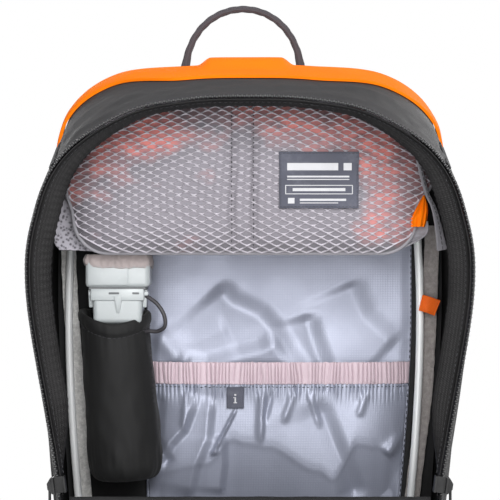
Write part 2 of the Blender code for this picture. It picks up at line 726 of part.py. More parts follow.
def make_shoulder_strap(word, side):
    path = strap_path(side)
    count = len(path)
    shares = spread(0, 1, count)
    half = [0.030 + 0.004 * math.sin(math.pi * t) - 0.014 * smoothstep(0.75, 1.0, t) for t in shares]
    thick = [0.006 + 0.006 * smoothstep(0, 0.15, t) * (1 - smoothstep(0.9, 1.0, t)) for t in shares]
    strap = band("shoulder_strap_" + word, path, [Vector((1, 0, 0))] * count, half, thick, "black_fabric")
    tip, down, across, out = strap_frame(side, 0.95)
    tip = path[-1]
    lock = framed_box(
        "ladder_lock_" + word, (tip, down, across, out), (-0.014, 0.0010, -0.0030), (0.014, 0.0210, 0.0030),
        "black_plastic",
    )
    cutter = framed_box(
        "ladder_slot_cutter_" + word, (tip, down, across, out), (-0.0105, 0.0080, -0.0100),
        (0.0105, 0.0115, 0.0100), "black_plastic", 0.0002,
    )
    boolean(lock, cutter)
    parts = [strap, lock, cutter]
    lower = tip + down * 0.0240
    anchor = mirrored((0.130, 0.0850, 0.130), side)
    upper_sag = lower.lerp(anchor, 0.35) + Vector((0, 0.010, -0.006))
    lower_sag = lower.lerp(anchor, 0.7) + Vector((0, 0.004, -0.008))
    web = smooth_path([lower, upper_sag, lower_sag, anchor], 12)
    band("strap_webbing_" + word, web, [Vector((1, 0, 0))] * 12, [0.0100] * 12, [0.0016] * 12, "black_fabric")
    return parts


def make_sternum_half(word, side):
    """Webbing and half a buckle, on a clip that slides along the shoulder strap."""
    origin, down, across, out = strap_frame(side, 0.40)
    face = origin + out * 0.0100
    near = face + Vector((0.004 * side, 0, 0))
    middle, end = face + Vector((-0.024 * side, 0.003, 0)), face + Vector((-0.043 * side, 0.004, 0))
    far = smooth_path([near, middle, end], 7)
    up = [Vector((0, 0, 1))] * 7
    strap = band("sternum_strap_" + word, far, up, [0.0100] * 7, [0.0016] * 7, "black_fabric")
    end = far[-1]
    if side < 0:
        low, high = Vector((0.0014, -0.004, -0.013)), Vector((0.0220, 0.004, 0.013))
        name = "sternum_buckle_socket"
    else:
        low, high = Vector((-0.0160, -0.003, -0.009)), Vector((-0.0014, 0.003, 0.009))
        name = "sternum_buckle_plug"
    buckle = rounded_box(name, end + low, end + high, "black_plastic", 0.0015)
    return strap, buckle


def make_release_handle():
    """Grip in its pocket on the left strap, and the cable's run down the strap to it."""
    frame = strap_frame(-1, 0.66)
    low, high = (-0.019, -0.030, 0.0066), (0.019, 0.012, 0.0100)
    pocket = framed_box("handle_pocket", frame, low, high, "black_fabric")
    low, high = (-0.012, -0.022, 0.0106), (0.012, 0.046, 0.0200)
    grip = framed_box("release_handle", frame, low, high, "orange_plastic", 0.003)
    run = []
    for i in range(2, 12):
        point, down, across, out = strap_frame(-1, i / 20)
        run.append(point + out * 0.0098 - across * (0.010 * smoothstep(2, 5, i)))
    cable = tube("release_cable_strap", smooth_path(run, 30), 0.0020, "rubber_cord")
    return pocket, grip, cable


def make_hip_wing(word, side):
    path = [
        (0.1020, 0.1030, 0.075), (0.1230, 0.1120, 0.077), (0.1420, 0.1340, 0.081), (0.1500, 0.1650, 0.086),
        (0.1460, 0.2000, 0.091), (0.1300, 0.2300, 0.093),
    ]
    path = smooth_path([mirrored(p, side) for p in path], 13)
    shares = spread(0, 1, 13)
    half = [0.040 - 0.015 * smoothstep(0.2, 1.0, t) for t in shares]
    thick = [0.006 + 0.006 * smoothstep(0, 0.2, t) * (1 - smoothstep(0.85, 1, t)) for t in shares]
    wing = band("hip_wing_" + word, path, [Vector((0, 0, 1))] * 13, half, thick, "black_fabric")
    points = [
        (0.1268, 0.2338, 0.093), (0.1050, 0.2500, 0.093), (0.0750, 0.2600, 0.093), (0.0460, 0.2630, 0.093),
    ]
    path = smooth_path([mirrored(p, side) for p in points], 8)
    up = [Vector((0, 0, 1))] * 8
    web = band("hip_webbing_" + word, path, up, [0.0125] * 8, [0.0018] * 8, "black_fabric")
    y = 0.2630
    if side < 0:
        low, high = (-0.0450, y - 0.0065, 0.0750), (-0.0080, y + 0.0065, 0.1110)
        buckle = rounded_box("hip_buckle_socket", low, high, "black_plastic", 0.003)
    else:
        low, high = (0.0080, y - 0.0045, 0.0790), (0.0450, y + 0.0045, 0.1070)
        buckle = rounded_box("hip_buckle_plug", low, high, "black_plastic", 0.002)
    return wing, web, buckle


def make_haul_loop():
    """Rolled webbing grab loop that stands up behind the top edge."""
    half, rise, count = 0.0485, 0.0602, 25
    points = []
    for i in range(count):
        a = math.pi * i / (count - 1)
        points.append(Vector((HAUL_X - half * math.cos(a), HAUL_Y, HAUL_Z + rise * math.sin(a) ** 0.85)))
    return tube("haul_loop", points, 0.0028, "rubber_cord")


def main():
    clear_scene()
    make_walls()
    make_release_cover()
    make_back_panel()
    make_front()
    make_body_zip()
    make_flap()
    for word, side in (("left", -1), ("right", 1)):
        make_slider(word, side)
    make_lining()
    make_pocket()
    make_frame()
    make_pouch()
    make_inflator()
    make_cartridge()
    make_cords()
    make_pull_tab()
    make_back_pads()
    attach("haul_loop_axis", (HAUL_X, HAUL_Y, HAUL_Z), make_haul_loop())
    grip = make_release_handle()
    for word, side in (("left", -1), ("right", 1)):
        parts = [*make_shoulder_strap(word, side), *make_sternum_half(word, side)]
        parts += grip if side < 0 else ()
        attach(f"shoulder_strap_{word}_axis", mirrored(STRAP_HINGE, side), *parts)
        attach(f"hip_wing_{word}_axis", mirrored(HIP_HINGE, side), *make_hip_wing(word, side))


main()
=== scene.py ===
"""Looks of the avalanche airbag backpack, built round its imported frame.

Blender 4.5, metres, +Z up, in the frame of the CAD: +X is to the right when the pack is seen from
its open front, +Y points to the wearer's back, and the origin is the middle of the flat base.
"""

import math

import bmesh
import bpy
import numpy as np
from mathutils import Matrix, Vector, noise


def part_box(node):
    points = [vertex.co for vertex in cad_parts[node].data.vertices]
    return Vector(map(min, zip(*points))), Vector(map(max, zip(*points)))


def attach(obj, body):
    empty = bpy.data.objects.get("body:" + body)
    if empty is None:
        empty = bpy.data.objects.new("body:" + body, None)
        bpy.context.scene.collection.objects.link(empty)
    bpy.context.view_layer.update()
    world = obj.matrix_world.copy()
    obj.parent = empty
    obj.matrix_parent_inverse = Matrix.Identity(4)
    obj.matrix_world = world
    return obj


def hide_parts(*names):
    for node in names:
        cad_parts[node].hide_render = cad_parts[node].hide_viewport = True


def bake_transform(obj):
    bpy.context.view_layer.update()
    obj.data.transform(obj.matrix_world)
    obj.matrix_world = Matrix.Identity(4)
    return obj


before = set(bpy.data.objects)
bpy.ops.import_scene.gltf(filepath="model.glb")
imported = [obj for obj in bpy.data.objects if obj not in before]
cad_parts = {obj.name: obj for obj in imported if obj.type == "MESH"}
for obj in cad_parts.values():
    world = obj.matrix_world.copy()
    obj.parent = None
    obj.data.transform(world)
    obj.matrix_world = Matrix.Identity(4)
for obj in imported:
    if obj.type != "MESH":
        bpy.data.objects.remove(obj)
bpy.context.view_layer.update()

# ---- driving dimensions, as in the CAD -----------------------------------------------------
BACK_Y = 0.080
RIM_Y = -0.120
WALL = 0.0022
GAP = 0.0004
CURVED_GAP = 0.0012
BULGE = 0.006
HINGE = Vector((0.0, -0.1245, 0.2140))
OPEN_ANGLE = math.radians(132.5)
BODY_COIL_Y = -0.1212
FLAP_COIL_Y = -0.1262
FLAP_EDGE_Y = -0.1285
FLAP_THICKNESS = 0.0025
FLAP_DOME = 0.014
LINING_Y = 0.0600
LINING_LEFT = -0.0850
POCKET_TOP_Z = 0.3085
ELASTIC_HEIGHT = 0.018
POUCH_BACK_Y = 0.0400
POUCH_FRONT_Y = -0.0300
POUCH_BOTTOM_Z = 0.3960
INFLATOR = Vector((-0.1045, 0.0040, 0.0))
CARTRIDGE_TILT = math.radians(3.5)
CARTRIDGE_TOP = Vector((-0.1055, 0.0060, 0.3350))
HAUL = Vector((-0.0058, 0.0875, 0.541))
S_TOP_SEAM = 0.30
S_BASE_SEAM = 0.80
SIDES = (("left", -1), ("right", 1))
CABLE_HOLE = Vector((-0.062, 0.0, 0.4900))
X_AXIS, Z_AXIS = Vector((1, 0, 0)), Vector((0, 0, 1))
FRONT, REAR = Vector((0, -1, 0)), Vector((0, 1, 0))

BACK_OUTLINE = [
    (0.000, 0.552), (0.050, 0.551), (0.108, 0.545), (0.145, 0.519), (0.157, 0.475), (0.160, 0.365),
    (0.154, 0.226), (0.148, 0.140), (0.140, 0.060), (0.126, 0.013), (0.088, 0.000), (0.000, 0.000),
]
RIM_OUTLINE = [
    (0.000, 0.515), (0.046, 0.513), (0.092, 0.503), (0.138, 0.473), (0.160, 0.430), (0.166, 0.365),
    (0.143, 0.226), (0.137, 0.140), (0.130, 0.060), (0.116, 0.013), (0.082, 0.000), (0.000, 0.000),
]


# ---- curves and the pack's surface ---------------------------------------------------------
def spread(low, high, count):
    return [low + (high - low) * i / (count - 1) for i in range(count)]


def smoothstep(low, high, value):
    t = min(1.0, max(0.0, (value - low) / (high - low)))
    return t * t * (3.0 - 2.0 * t)


def hump(centre, width, value):
    return math.exp(-(((value - centre) / width) ** 2))


def wobble(x, y=0.0, z=0.0):
    """Smooth noise from about -1 to 1."""
    return noise.noise(Vector((x, y, z)))


def spline_point(points, u, before=None, after=None):
    i = min(int(u), len(points) - 2)
    t = u - i
    p1, p2 = Vector(points[i]), Vector(points[i + 1])
    p0 = Vector(points[i - 1]) if i > 0 else Vector(before) if before else 2 * p1 - p2
    p3 = Vector(points[i + 2]) if i + 2 < len(points) else Vector(after) if after else 2 * p2 - p1
    return 0.5 * (
        2 * p1
        + (p2 - p0) * t
        + (2 * p0 - 5 * p1 + 4 * p2 - p3) * t * t
        + (3 * p1 - p0 - 3 * p2 + p3) * t * t * t
    )


def smooth_path(points, count):
    return [spline_point(points, u) for u in spread(0, len(points) - 1, count)]


def mirrored(point, side):
    return Vector((point[0] * side, point[1], point[2]))


def outline_point(keys, s):
    """(x, z) on an outline. s is 0 at the top centre, 1 and -1 at the bottom centre."""
    before = (-keys[1][0], keys[1][1])
    after = (-keys[-2][0], keys[-2][1])
    x, z = spline_point(keys, abs(s) * (len(keys) - 1), before, after)
    return Vector((math.copysign(x, s), max(z, 0.0)))


def outline_normal(keys, s):
    step = 0.004
    ahead, behind = outline_point(keys, min(1, s + step)), outline_point(keys, max(-1, s - step))
    run = (ahead - behind).normalized()
    return Vector((-run.y, run.x))


def wall_point(s, v, inset=0.0):
    """A point of the wall's outer surface, moved in by inset. v is 0 at the rim, 1 at the back."""
    flat = outline_point(RIM_OUTLINE, s).lerp(outline_point(BACK_OUTLINE, s), v)
    normal = outline_normal(RIM_OUTLINE, s).lerp(outline_normal(BACK_OUTLINE, s), v).normalized()
    belly = BULGE * math.sin(math.pi * v)
    belly *= smoothstep(0.0, 0.08, flat.y) * (1 - smoothstep(0.33, 0.46, flat.y))
    flat += normal * (belly - inset)
    return Vector((flat.x, RIM_Y + (BACK_Y - RIM_Y) * v, flat.y))


def v_at(y):
    return (y - RIM_Y) / (BACK_Y - RIM_Y)


def s_at_height(z, keys=RIM_OUTLINE):
    low, high = 0.1, 0.9
    for _ in range(40):
        middle = (low + high) / 2
        if outline_point(keys, middle).y > z:
            low = middle
        else:
            high = middle
    return low


REACH = s_at_height(HINGE.z + 0.004)  # the zip ends here, on each side


# ---- materials -----------------------------------------------------------------------------
class Look:
    """A material: a Principled shader with fixed sockets, and helpers that add nodes to it."""

    def __init__(self, name, **fixed):
        self.material = bpy.data.materials.new(name)
        self.material.use_nodes = True
        self.tree = self.material.node_tree
        self.shader = self.tree.nodes["Principled BSDF"]
        for socket, value in fixed.items():
            self.shader.inputs[socket.replace("_", " ")].default_value = value
        where = self.tree.nodes.new("ShaderNodeTexCoord")
        self.uv, self.place = where.outputs["UV"], where.outputs["Object"]

    def node(self, kind, inputs=(), **properties):
        made = self.tree.nodes.new("ShaderNode" + kind)
        for name, value in properties.items():
            setattr(made, name, value)
        for key, value in dict(inputs).items():
            if isinstance(value, bpy.types.NodeSocket):
                self.tree.links.new(value, made.inputs[key])
            else:
                made.inputs[key].default_value = value
        return made

    def math(self, operation, *values):
        return self.node("Math", enumerate(values), operation=operation).outputs[0]

    def noise(self, scale, detail=3.0, where=None, stretch=None, roughness=0.5):
        where = self.place if where is None else where
        if stretch:
            where = self.node("Mapping", {"Vector": where, "Scale": stretch}).outputs[0]
        inputs = {"Vector": where, "Scale": scale, "Detail": detail, "Roughness": roughness}
        return self.node("TexNoise", inputs).outputs["Fac"]

    def cells(self, scale, where=None, feature="F1"):
        inputs = {"Vector": self.place if where is None else where, "Scale": scale}
        return self.node("TexVoronoi", inputs, feature=feature).outputs["Distance"]

    def axes(self, where):
        return self.node("SeparateXYZ", {"Vector": where}).outputs

    def stripes(self, along, pitch, sharp=1.0):
        """0 to 1 and back once each pitch."""
        wave = self.math("SINE", self.math("MULTIPLY", along, 2 * math.pi / pitch))
        wave = self.math("MULTIPLY_ADD", wave, 0.5, 0.5)
        return self.math("POWER", wave, sharp) if sharp != 1.0 else wave

    def band(self, value, low, high):
        """value from low to high as 0 to 1, clamped."""
        inputs = {"Value": value, "From Min": low, "From Max": high}
        return self.node("MapRange", inputs, clamp=True).outputs[0]

    def mix(self, share, first, second):
        made = self.node("Mix", data_type="RGBA")
        for index, value in ((0, share), (6, first), (7, second)):
            if isinstance(value, bpy.types.NodeSocket):
                self.tree.links.new(value, made.inputs[index])
            else:
                made.inputs[index].default_value = value if index == 0 else (*value, 1.0)
        return made.outputs[2]

    def colour(self, socket):
        self.tree.links.new(socket, self.shader.inputs["Base Color"])

    def roughness(self, value, low, high):
        self.tree.links.new(self.band_to(value, low, high), self.shader.inputs["Roughness"])

    def band_to(self, value, low, high):
        inputs = {"Value": value, "From Min": 0.25, "From Max": 0.75, "To Min": low, "To Max": high}
        return self.node("MapRange", inputs, clamp=True).outputs[0]

    def bump(self, *heights):
        """Bumps from (height, distance in metres, strength) triples, one on top of the other."""
        normal = None
        for height, distance, strength in heights:
            inputs = {"Height": height, "Distance": distance, "Strength": strength}
            if normal:
                inputs["Normal"] = normal
            normal = self.node("Bump", inputs).outputs[0]
        self.tree.links.new(normal, self.shader.inputs["Normal"])


def scaled(colour, factor):
    return tuple(min(1.0, c * factor) for c in colour)


def woven(name, colour, pitch=0.0011, shine=(0.62, 0.85), sheen=0.15, contrast=0.35, worn=0.5,
          uv=True, bump=0.00012, gloss=0.35):
    """Plain woven cloth: threads over and under, slow colour variation and rubbed, paler patches."""
    look = Look(name, Sheen_Weight=sheen, Sheen_Roughness=0.4, Specular_IOR_Level=gloss)
    where = look.uv if uv else look.place
    axes = look.axes(where)
    warp, weft = look.stripes(axes[0], pitch), look.stripes(axes[1], pitch)
    if not uv:
        weft = look.math("MAXIMUM", weft, look.stripes(axes[2], pitch))
    thread = look.math("ABSOLUTE", look.math("SUBTRACT", warp, weft))
    slow = look.noise(14.0, 4.0)
    rubbed = look.band(look.noise(70.0, 5.0, roughness=0.65), 0.52, 0.72)
    dark, light = scaled(colour, 1 - contrast), scaled(colour, 1 + contrast)
    tone = look.mix(thread, scaled(colour, 0.82), scaled(colour, 1.12))
    cloudy = look.mix(look.band(slow, 0.3, 0.7), dark, light)
    mixed = look.mix(0.5, tone, cloudy)
    pale = tuple(0.6 * c + 0.4 * (sum(light) / 3 + 0.02) for c in scaled(light, 1.25))
    look.colour(look.mix(look.math("MULTIPLY", rubbed, worn * 0.5), mixed, pale))
    look.roughness(slow, *shine)
    look.bump((thread, bump, 0.6), (look.noise(260.0, 2.0), 0.0002, 0.35))
    return look.material


def moulded(name, colour, rough=(0.32, 0.5), grain=900.0, coat=0.0, speck=0.12, gloss=0.5):
    """Moulded plastic or rubber: fine grain, slightly uneven gloss, scuffs."""
    look = Look(name, Coat_Weight=coat, Coat_Roughness=0.25, Specular_IOR_Level=gloss)
    slow = look.noise(30.0, 3.0)
    scuff = look.band(look.noise(160.0, 6.0, roughness=0.7), 0.58, 0.75)
    base = look.mix(look.band(slow, 0.3, 0.7), scaled(colour, 1 - speck), scaled(colour, 1 + speck))
    look.colour(look.mix(look.math("MULTIPLY", scuff, 0.35), base, scaled(colour, 1.35)))
    look.roughness(look.noise(90.0, 4.0), *rough)
    look.bump((look.noise(grain, 2.0), 0.00006, 0.4), (slow, 0.0008, 0.15))
    return look.material


def drawn_metal(name, colour, rough=(0.22, 0.36), metallic=1.0):
    """Metal with fine marks along Z and a satin, slightly clouded finish."""
    look = Look(name, Metallic=metallic, Anisotropic=0.3)
    marks = look.noise(1.0, 4.0, stretch=(400.0, 400.0, 12.0))
    cloud = look.noise(25.0, 4.0)
    tone = look.mix(marks, scaled(colour, 0.86), scaled(colour, 1.08))
    look.colour(look.mix(look.band(cloud, 0.35, 0.7), tone, scaled(colour, 0.9)))
    look.roughness(marks, *rough)
    look.bump((marks, 0.00003, 0.3))
    return look.material


def ripstop(name, colour, pitch=0.0028, shine=(0.34, 0.46), tint=(0.95, 0.97, 1.05), silver=0.0):
    """Thin coated nylon with a grid of thicker threads, silvery and slightly creased."""
    look = Look(name, Sheen_Weight=0.0, Sheen_Roughness=0.3, Specular_IOR_Level=0.6, Metallic=silver)
    axes = look.axes(look.uv)
    grid = look.math("MAXIMUM", look.stripes(axes[0], pitch, 6.0), look.stripes(axes[1], pitch, 6.0))
    fine = look.math("MULTIPLY", look.stripes(axes[0], 0.0008), look.stripes(axes[1], 0.0008))
    slow = look.noise(9.0, 3.0)
    base = look.mix(look.band(slow, 0.35, 0.65), scaled(colour, 0.9), scaled(colour, 1.08))
    cool = tuple(c * t for c, t in zip(scaled(colour, 0.82), tint))
    look.colour(look.mix(look.math("MULTIPLY", grid, 0.3), base, cool))
    look.roughness(look.noise(40.0, 3.0), *shine)
    crease = look.noise(1.0, 5.0, stretch=(55.0, 55.0, 30.0), roughness=0.55)
    look.bump((crease, 0.0011, 0.22), (grid, 0.0001, 0.5), (fine, 0.00005, 0.4))
    return look.material


def spacer_mesh(name, colour, cell=0.0042):
    """Air mesh: rows of small holes in a soft knit."""
    look = Look(name, Sheen_Weight=0.06, Sheen_Roughness=0.5, Specular_IOR_Level=0.25)
    hole = look.band(look.cells(1.0 / cell), 0.18, 0.5)
    knit = look.noise(900.0, 2.0)
    slow = look.noise(12.0, 3.0)
    body = look.mix(look.band(slow, 0.3, 0.7), scaled(colour, 0.8), scaled(colour, 1.25))
    look.colour(look.mix(hole, scaled(colour, 0.35), body))
    look.roughness(slow, 0.75, 0.95)
    look.bump((hole, 0.0009, 0.7), (knit, 0.0002, 0.5))
    return look.material


def webbing(name, colour, pitch=0.0022, shine=(0.5, 0.72), contrast=0.3, sheen=0.05, gloss=0.3):
    """Woven strap: slanted ribs that meet in the middle, and tighter edges."""
    look = Look(name, Sheen_Weight=sheen, Sheen_Roughness=0.35, Specular_IOR_Level=gloss)
    axes = look.axes(look.uv)
    slant = look.math("ABSOLUTE", axes[0])
    ribs = look.stripes(look.math("ADD", axes[1], slant), pitch)
    cross = look.stripes(axes[0], pitch * 0.8)
    weave = look.math("MULTIPLY", ribs, cross)
    slow = look.noise(40.0, 4.0)
    tone = look.mix(weave, scaled(colour, 1 - contrast), scaled(colour, 1 + contrast))
    look.colour(look.mix(look.band(slow, 0.4, 0.75), tone, scaled(colour, 1.2)))
    look.roughness(slow, *shine)
    look.bump((weave, 0.0004, 0.7), (look.noise(700.0, 2.0), 0.0001, 0.4))
    return look.material


def napped(name, colour):
    """Brushed hook-and-loop tape: speckled, with pulled fibres."""
    look = Look(name, Sheen_Weight=0.5, Sheen_Roughness=0.6)
    fibre = look.noise(1400.0, 4.0, roughness=0.8)
    lump = look.noise(260.0, 5.0, roughness=0.75)
    speck = look.band(look.cells(700.0), 0.1, 0.5)
    tone = look.mix(look.band(lump, 0.35, 0.62), scaled(colour, 0.66), scaled(colour, 1.25))
    look.colour(look.mix(look.math("MULTIPLY", speck, 0.4), tone, scaled(colour, 0.7)))
    look.roughness(lump, 0.9, 1.0)
    look.bump((lump, 0.0009, 0.8), (fibre, 0.0004, 0.7))
    return look.material


def mesh_backing(name):
    """Fine net over the folded airbag, whose colour glows through where it presses on the cloth; its grey has painted
    shade, darker towards the top under the rim, and is also darker towards the sides.
    """
    look = Look(name, Sheen_Weight=0.25, Sheen_Roughness=0.5)
    net = look.band(look.cells(620.0), 0.15, 0.55)
    axes = look.axes(look.place)
    press = look.noise(1.0, 2.5, stretch=(17.0, 10.0, 24.0))
    high = look.math("MULTIPLY", look.band(axes[2], 0.43, 0.52), 0.20)
    right = look.math("MULTIPLY", look.band(axes[0], 0.0, 0.12), 0.09)
    middle = look.math("MULTIPLY", look.band(look.math("ABSOLUTE", axes[0]), 0.03, 0.0), 0.16)
    where = look.math("SUBTRACT", look.math("ADD", look.math("ADD", press, high), right), middle)
    glow = look.band(where, 0.54, 0.74)
    streak = look.noise(1.0, 3.0, stretch=(90.0, 60.0, 140.0))
    glow = look.math("MULTIPLY", glow, look.band(streak, 0.2, 0.6))
    # Painted shade: the grey is made darker towards the top, where the rim shades it, and darker towards the sides;
    # the noise adds random tone.
    middle = look.band(look.math("ABSOLUTE", axes[0]), 0.145, 0.03)
    clear = look.math("ADD", middle, look.noise(1.0, 2.0, stretch=(9.0, 9.0, 14.0)))
    painted_shade_and_tone = look.math("SUBTRACT", clear, look.band(axes[2], 0.44, 0.53))
    grey = look.mix(look.band(painted_shade_and_tone, 0.25, 1.1), (0.070, 0.063, 0.074), (0.185, 0.174, 0.196))
    red = look.mix(streak, (0.54, 0.125, 0.115), (0.82, 0.25, 0.20))
    look.colour(look.mix(look.math("MULTIPLY", glow, 0.70), grey, red))
    look.roughness(press, 0.7, 0.9)
    look.bump((net, 0.0001, 0.3), (press, 0.002, 0.2))
    return look.material


def knit(name, colour):
    """Smooth stretch knit over neoprene."""
    look = Look(name, Sheen_Weight=0.06, Sheen_Roughness=0.45, Specular_IOR_Level=0.3)
    axes = look.axes(look.uv)
    stitch = look.math("MULTIPLY", look.stripes(axes[0], 0.0009), look.stripes(axes[1], 0.0007))
    slow = look.noise(18.0, 4.0)
    lint = look.band(look.noise(500.0, 3.0), 0.68, 0.78)
    tone = look.mix(look.band(slow, 0.3, 0.7), scaled(colour, 0.8), scaled(colour, 1.3))
    look.colour(look.mix(look.math("MULTIPLY", lint, 0.3), tone, scaled(colour, 4.0)))
    look.roughness(slow, 0.62, 0.82)
    look.bump((stitch, 0.0001, 0.6), (slow, 0.0015, 0.25))
    return look.material


BLACK = woven("black_cloth", (0.016, 0.016, 0.017), contrast=0.3, sheen=0.02, gloss=0.22)
SIDE = woven("side_cloth", (0.010, 0.010, 0.0104), shine=(0.55, 0.8), bump=0.0002, sheen=0.0, gloss=0.15)
GREY = woven("gusset_cloth", (0.026, 0.025, 0.027), contrast=0.28, shine=(0.6, 0.8), sheen=0.0, gloss=0.2)
TAPE = webbing("zip_tape_cloth", (0.014, 0.0135, 0.014), pitch=0.0016, sheen=0.0, gloss=0.2)
ORANGE = woven("cover_cloth", (0.90, 0.19, 0.003), contrast=0.12, shine=(0.7, 0.85), worn=0.0, sheen=0.0,
               gloss=0.06)
LINING = ripstop("lining_cloth", (0.300, 0.318, 0.395), pitch=0.0020, shine=(0.42, 0.54), silver=0.34)
BACKING = mesh_backing("pouch_backing")
NET = woven("pouch_net", (0.45, 0.425, 0.47), pitch=0.0006, contrast=0.12, uv=False, worn=0.2,
            sheen=0.05)
POUCH_TRIM = woven("pouch_trim", (0.25, 0.242, 0.266), pitch=0.0009, contrast=0.2)
AIRBAG = ripstop("airbag_cloth", (0.90, 0.12, 0.012), tint=(1.0, 0.9, 0.8))
COLLAR = woven("collar_cloth", (0.36, 0.31, 0.305), pitch=0.0012, bump=0.0003)
ELASTIC = woven("elastic_cloth", (0.57, 0.455, 0.505), pitch=0.0009, contrast=0.16, shine=(0.45, 0.65),
                worn=0.2)
STRIP_LEFT = napped("napped_light", (0.80, 0.79, 0.77))
STRIP_RIGHT = napped("napped_taupe", (0.34, 0.31, 0.30))
NEOPRENE = knit("sleeve_knit", (0.0075, 0.0075, 0.0078))
CORD = moulded("rubber_cord", (0.030, 0.028, 0.032), rough=(0.45, 0.65), grain=2200.0)
HAUL_WEB = webbing("haul_webbing", (0.050, 0.045, 0.052), pitch=0.0018, contrast=0.15)
WEB = webbing("black_webbing", (0.024, 0.024, 0.025))
WHITE_PLASTIC = moulded("inflator_plastic", (0.335, 0.360, 0.368), rough=(0.28, 0.45), speck=0.04,
                        coat=0.1)
DARK_PLASTIC = moulded("buckle_plastic", (0.008, 0.008, 0.0085), rough=(0.35, 0.6), gloss=0.25)
CORE = moulded("inflator_core", (0.10, 0.105, 0.11), rough=(0.5, 0.7))
TEETH = moulded("zip_teeth", (0.040, 0.040, 0.042), rough=(0.3, 0.45), gloss=0.4)
BLACK_TEETH = moulded("flap_zip_teeth", (0.03, 0.03, 0.031), rough=(0.22, 0.4))
SAFETY_ORANGE = webbing("tab_webbing", (1.0, 0.15, 0.008), pitch=0.0014, contrast=0.12, sheen=0.0)
GRIP = moulded("grip_plastic", (0.92, 0.10, 0.010), rough=(0.3, 0.48), speck=0.06)
METAL = drawn_metal("rod_aluminium", (0.93, 0.955, 0.97), rough=(0.35, 0.5), metallic=0.1)
STEEL = drawn_metal("turned_steel", (0.58, 0.59, 0.60))
LABEL = woven("label_weave", (0.074, 0.077, 0.102), pitch=0.0006, contrast=0.55, worn=1.0)
PRINT = woven("label_thread", (0.52, 0.52, 0.54), pitch=0.0005, contrast=0.08, worn=0.0, uv=False)
THREAD = woven("dark_thread", (0.020, 0.020, 0.024), pitch=0.0005, contrast=0.2, uv=False)
PALE_THREAD = woven("pale_thread", (0.33, 0.33, 0.345), pitch=0.0005, contrast=0.15, uv=False)
PAD_MESH = spacer_mesh("pad_mesh", (0.035, 0.035, 0.037))
STRAP_MESH = spacer_mesh("strap_mesh", (0.028, 0.028, 0.030), cell=0.0034)
GUSSET_MESH = spacer_mesh("gusset_mesh", (0.36, 0.345, 0.385), cell=0.0026)


# ---- mesh helpers --------------------------------------------------------------------------
def grid(outer, inner, point):
    """Rows of points: point(a, b) for each a of outer and, along a row, each b of inner."""
    return [[point(a, b) for b in inner] for a in outer]


def rounded(count, half_x, half_y, bend_x, bend_y, closed=False):
    """(x, y) round a closed curve. A bend of 1 makes an ellipse, and less makes it squarer."""
    found = []
    for k in range(count + closed):
        a = 2 * math.pi * k / count
        c, s = math.cos(a), math.sin(a)
        found.append((half_x * math.copysign(abs(c) ** bend_x, c), half_y * math.copysign(abs(s) ** bend_y, s)))
    return found


def circle(count, closed=False):
    return rounded(count, 1.0, 1.0, 1.0, 1.0, closed)


def surface(name, rows, material, looped=False, thickness=0.0, caps=False, filled=False):
    """A cloth surface through rows of points, with UVs in metres, and Solidify for its thickness.

    caps closes both ends of a looped surface, and filled only its last one.
    """
    count, columns = len(rows), len(rows[0])
    across = columns if looped else columns - 1
    middle = rows[count // 2]
    steps = [(middle[(j + 1) % columns] - middle[j]).length for j in range(across)]
    u = np.concatenate([[0.0], np.cumsum(steps)])
    u -= u[-1] / 2
    rise = [(rows[i + 1][0] - rows[i][0]).length for i in range(count - 1)]
    v = np.concatenate([[0.0], np.cumsum(rise)])
    faces, uvs = [], []
    for i in range(count - 1):
        for j in range(across):
            k = (j + 1) % columns
            here, above = i * columns, (i + 1) * columns
            faces.append((here + j, here + k, above + k, above + j))
            uvs += [u[j], v[i], u[j + 1], v[i], u[j + 1], v[i + 1], u[j], v[i + 1]]
    if caps or filled:
        for i in (0, count - 1) if caps else (count - 1,):
            faces.append(tuple(range(i * columns, (i + 1) * columns)))
            uvs += [x for p in rows[i] for x in (p.x, p.z)]
    mesh = bpy.data.meshes.new(name)
    mesh.from_pydata([tuple(p) for row in rows for p in row], [], faces)
    mesh.uv_layers.new(name="UVMap").data.foreach_set("uv", uvs)
    return from_mesh(name, mesh, material, thickness, closed=caps)


def from_mesh(name, mesh, material, thickness=0.0, closed=False, angle=50.0):
    if closed:
        made = bmesh.new()
        made.from_mesh(mesh)
        bmesh.ops.recalc_face_normals(made, faces=made.faces)
        made.to_mesh(mesh)
        made.free()
    mesh.shade_smooth()
    mesh.set_sharp_from_angle(angle=math.radians(angle))
    mesh.materials.append(material)
    obj = bpy.data.objects.new(name, mesh)
    bpy.context.scene.collection.objects.link(obj)
    if thickness:
        solid = obj.modifiers.new("Thickness", "SOLIDIFY")
        solid.thickness = thickness
        solid.offset = 0.0
        solid.use_even_offset = False
    return obj


def place(obj, body="pack", slot="black_fabric", node=None):
    """Puts a piece on a body and in place of a CAD node, which it hides. slot is not used."""
    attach(obj, body)
    if node:
        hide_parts(node)


def frames_along(path, across):
    """(point, direction, across, normal) at each point of a path."""
    found = []
    for i, point in enumerate(path):
        run = (path[min(i + 1, len(path) - 1)] - path[max(i - 1, 0)]).normalized()
        wide = across(i) if callable(across) else across
        wide = (wide - run * wide.dot(run)).normalized()
        found.append((point, run, wide, wide.cross(run)))
    return found


def swept(name, path, across, widths, heights, material, power=5.0, sides=20, lift=None):
    """A strap or bar with a rounded flat section: power 2 is an ellipse, more is squarer."""
    bend = 2 / power
    rows = []
    for i, (point, _, wide, normal) in enumerate(frames_along(path, across)):
        half = (widths[i] if hasattr(widths, "__len__") else widths) / 2
        tall = (heights[i] if hasattr(heights, "__len__") else heights) / 2
        rows.append([
            point + wide * x + normal * (y + (lift(i, x, y) if lift else 0.0))
            for x, y in rounded(sides, half, tall, bend, bend)
        ])
    return surface(name, rows, material, looped=True, caps=True)


def tube(name, path, radius, material, sides=10):
    return swept(name, path, sideways(path), 2 * radius, 2 * radius, material, power=2.0, sides=sides)


